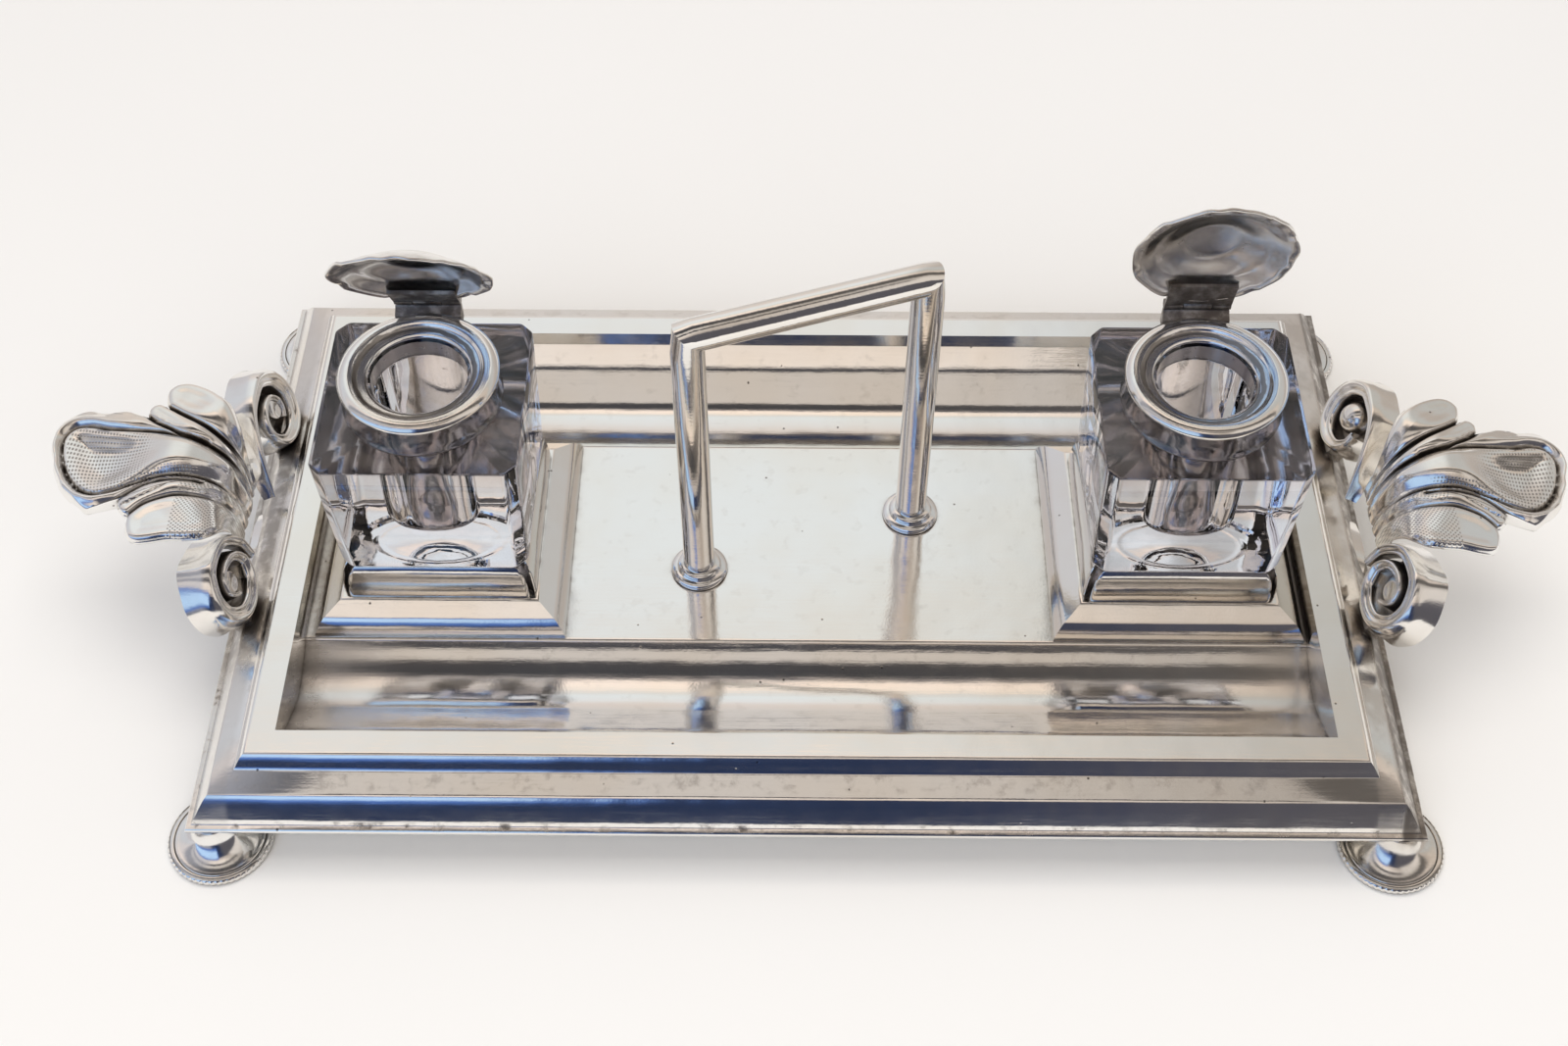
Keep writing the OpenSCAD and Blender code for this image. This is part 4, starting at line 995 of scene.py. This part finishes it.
for side, x in BOTTLES.items():
    verts, faces = bottle_mesh(x)
    make_piece(f"ink_bottle_{side}", verts, faces, M_GLASS, f"bottle_{side}_set",
               [f"bottle_{side}"], sharp=28)
    verts, faces = lathe(collar_profile(), 144)
    make_piece(f"collar_ring_{side}", moved(verts, (x, 0, 0)), faces, M_CAP, f"bottle_{side}_set",
               [f"collar_{side}"], sharp=50)
    verts, faces = hinge_leaf_mesh()
    make_piece(f"hinge_leaf_{side}", moved(verts, (x, 0, 0)), faces, M_HINGE, f"bottle_{side}_set",
               [f"hinge_plate_{side}"], sharp=35)
    verts, faces = lid_mesh()
    verts = swung(moved(verts, (x, 0, LID_Z)), (x, HINGE_Y, HINGE_Z), -LID_OPEN[side], "X")
    make_piece(f"lid_dish_{side}", verts, faces, M_LID, f"lid_{side}_set", [f"lid_{side}"], sharp=50)

for name in ("hinge_pin", "lid_plate"):
    for side in BOTTLES:
        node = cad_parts[f"{name}_{side}"]
        node.data.materials.clear()
        node.data.materials.append(M_HINGE)
        bevel = node.modifiers.new("soft_edges", "BEVEL")
        bevel.width, bevel.segments, bevel.limit_method = 0.12 * MM, 2, "ANGLE"


# ---- Floor, light and camera ----

def floor_material():
    """White paper with the faintest mottling."""
    g = new_material("floor_paper")
    tone = g.mix(g.noise(g.place(), 3.0), rgba(0.905, 0.893, 0.862), rgba(0.925, 0.913, 0.885))
    return g.surface(g.add("BsdfDiffuse", {"Color": tone}))


FLOOR = 4000.0
corners = [(-FLOOR, -FLOOR, 0.0), (FLOOR, -FLOOR, 0.0), (FLOOR, FLOOR, 0.0), (-FLOOR, FLOOR, 0.0)]
floor = make_piece("floor", corners, [(0, 1, 2, 3)], floor_material())
# half a turn, only to place its mottling
floor.rotation_euler.z = pi

# Light of the room by direction: degrees from the horizon behind the object, over the top, to
# the horizon in front of it
ROOM = [(0, (0.66, 0.63, 0.61)), (28, (0.78, 0.70, 0.65)), (40, (0.84, 0.84, 0.84)),
        (52, (0.84, 0.88, 0.89)), (59, (0.80, 0.78, 0.75)), (62, (1.00, 0.88, 0.77)),
        (70, (1.15, 0.98, 0.86)), (74, (0.30, 0.27, 0.26)), (78, (0.06, 0.06, 0.065)),
        (90, (0.07, 0.066, 0.07)), (94, (0.66, 0.60, 0.55)), (102, (0.66, 0.60, 0.55)),
        (104, (0.05, 0.05, 0.06)), (109, (0.06, 0.06, 0.07)), (113, (0.98, 0.88, 0.80)),
        (122, (0.80, 0.70, 0.62)), (128, (0.64, 0.56, 0.52)), (132, (0.03, 0.042, 0.09)),
        (180, (0.02, 0.033, 0.08))]


def room_light():
    """The world that the silver mirrors: the ramp above, tinted at the sides, and a window."""
    world = bpy.data.worlds.new("studio")
    bpy.context.scene.world = world
    g = Graph(world, "OutputWorld")
    across, behind, above = g.split(g.add("TexCoord"))
    turn = g.math("DIVIDE", g.math("ARCTAN2", above, behind), pi)
    left = g.times(across, -1.0)
    ramp = g.add("ValToRGB", {"Fac": turn}).node
    stops = ramp.color_ramp.elements
    for stop, (angle, colour) in zip(stops, (ROOM[0], ROOM[-1])):
        stop.position, stop.color = angle / 180, rgba(*colour)
    for angle, colour in ROOM[1:-1]:
        stops.new(angle / 180).color = rgba(*colour)
    plain = ramp.outputs["Color"]

    # the right is dimmer and browner, with a cream patch high up, and the far left a soft lilac
    colour = g.mix(g.step(across, 0.02, 0.30), plain, g.mix(0.45, plain, rgba(0.20, 0.175, 0.15)))
    cream = g.band(turn, 0.5, 0.6, 0.72, 0.76)
    colour = g.mix(g.times(g.step(across, 0.34, 0.48), cream), colour, rgba(0.74, 0.68, 0.63))
    colour = g.mix(g.step(left, 0.25, 0.6), colour, g.mix(0.6, plain, rgba(0.52, 0.53, 0.60)))
    # a window low in front, to the left
    window = g.times(g.band(turn, 120 / 180, 136 / 180, 148 / 180, 176 / 180), g.step(left, 0.05, 0.16))
    colour = g.mix(g.step(window, 0.0, 0.45), colour, rgba(0.10, 0.20, 0.55))
    colour = g.mix(g.step(window, 0.5, 0.95), colour, rgba(0.52, 0.74, 1.05))
    g.surface(g.add("Background", {"Color": colour, "Strength": 1.0}))


room_light()


def area_light(name, place, size, power, colour):
    """Soft lamp aimed at the tray, and not mirrored in the metal or seen through the glass."""
    data = bpy.data.lights.new(name, "AREA")
    data.shape = "RECTANGLE"
    data.size, data.size_y = size
    data.energy, data.color = power, colour
    obj = bpy.data.objects.new(name, data)
    bpy.context.scene.collection.objects.link(obj)
    obj.location = place
    obj.rotation_euler = (-Vector(place)).to_track_quat("-Z", "Y").to_euler()
    obj.visible_glossy = False
    obj.visible_transmission = False


area_light("top_soft", (0.0, 0.25, 1.6), (1.3, 1.0), 10.5, (1.0, 0.985, 0.96))
area_light("front_fill", (0.0, -1.3, 0.8), (2.2, 1.2), 14.5, (1.0, 0.98, 0.95))

# camera: yaw from the Y axis toward +X, pitch down from level, roll about its own line of sight
CAM_PLACE = Vector((-3.66, -313.86, 425.05)) * MM
YAW, PITCH, ROLL = radians(-0.402), radians(51.966), radians(0.060)
FOCAL_PX, PHOTO_W = 1962.66, 1600.0
cam_data = bpy.data.cameras.new("camera")
cam_data.sensor_width = 36.0
cam_data.lens = FOCAL_PX / PHOTO_W * cam_data.sensor_width
cam_data.clip_start, cam_data.clip_end = 0.01, 20.0
camera = bpy.data.objects.new("camera", cam_data)
bpy.context.scene.collection.objects.link(camera)
camera.matrix_world = (Matrix.Translation(CAM_PLACE) @ Matrix.Rotation(-YAW, 4, "Z")
                       @ Matrix.Rotation(pi / 2 - PITCH, 4, "X") @ Matrix.Rotation(ROLL, 4, "Z"))
bpy.context.scene.camera = camera
bpy.context.scene.view_settings.view_transform = "Standard"
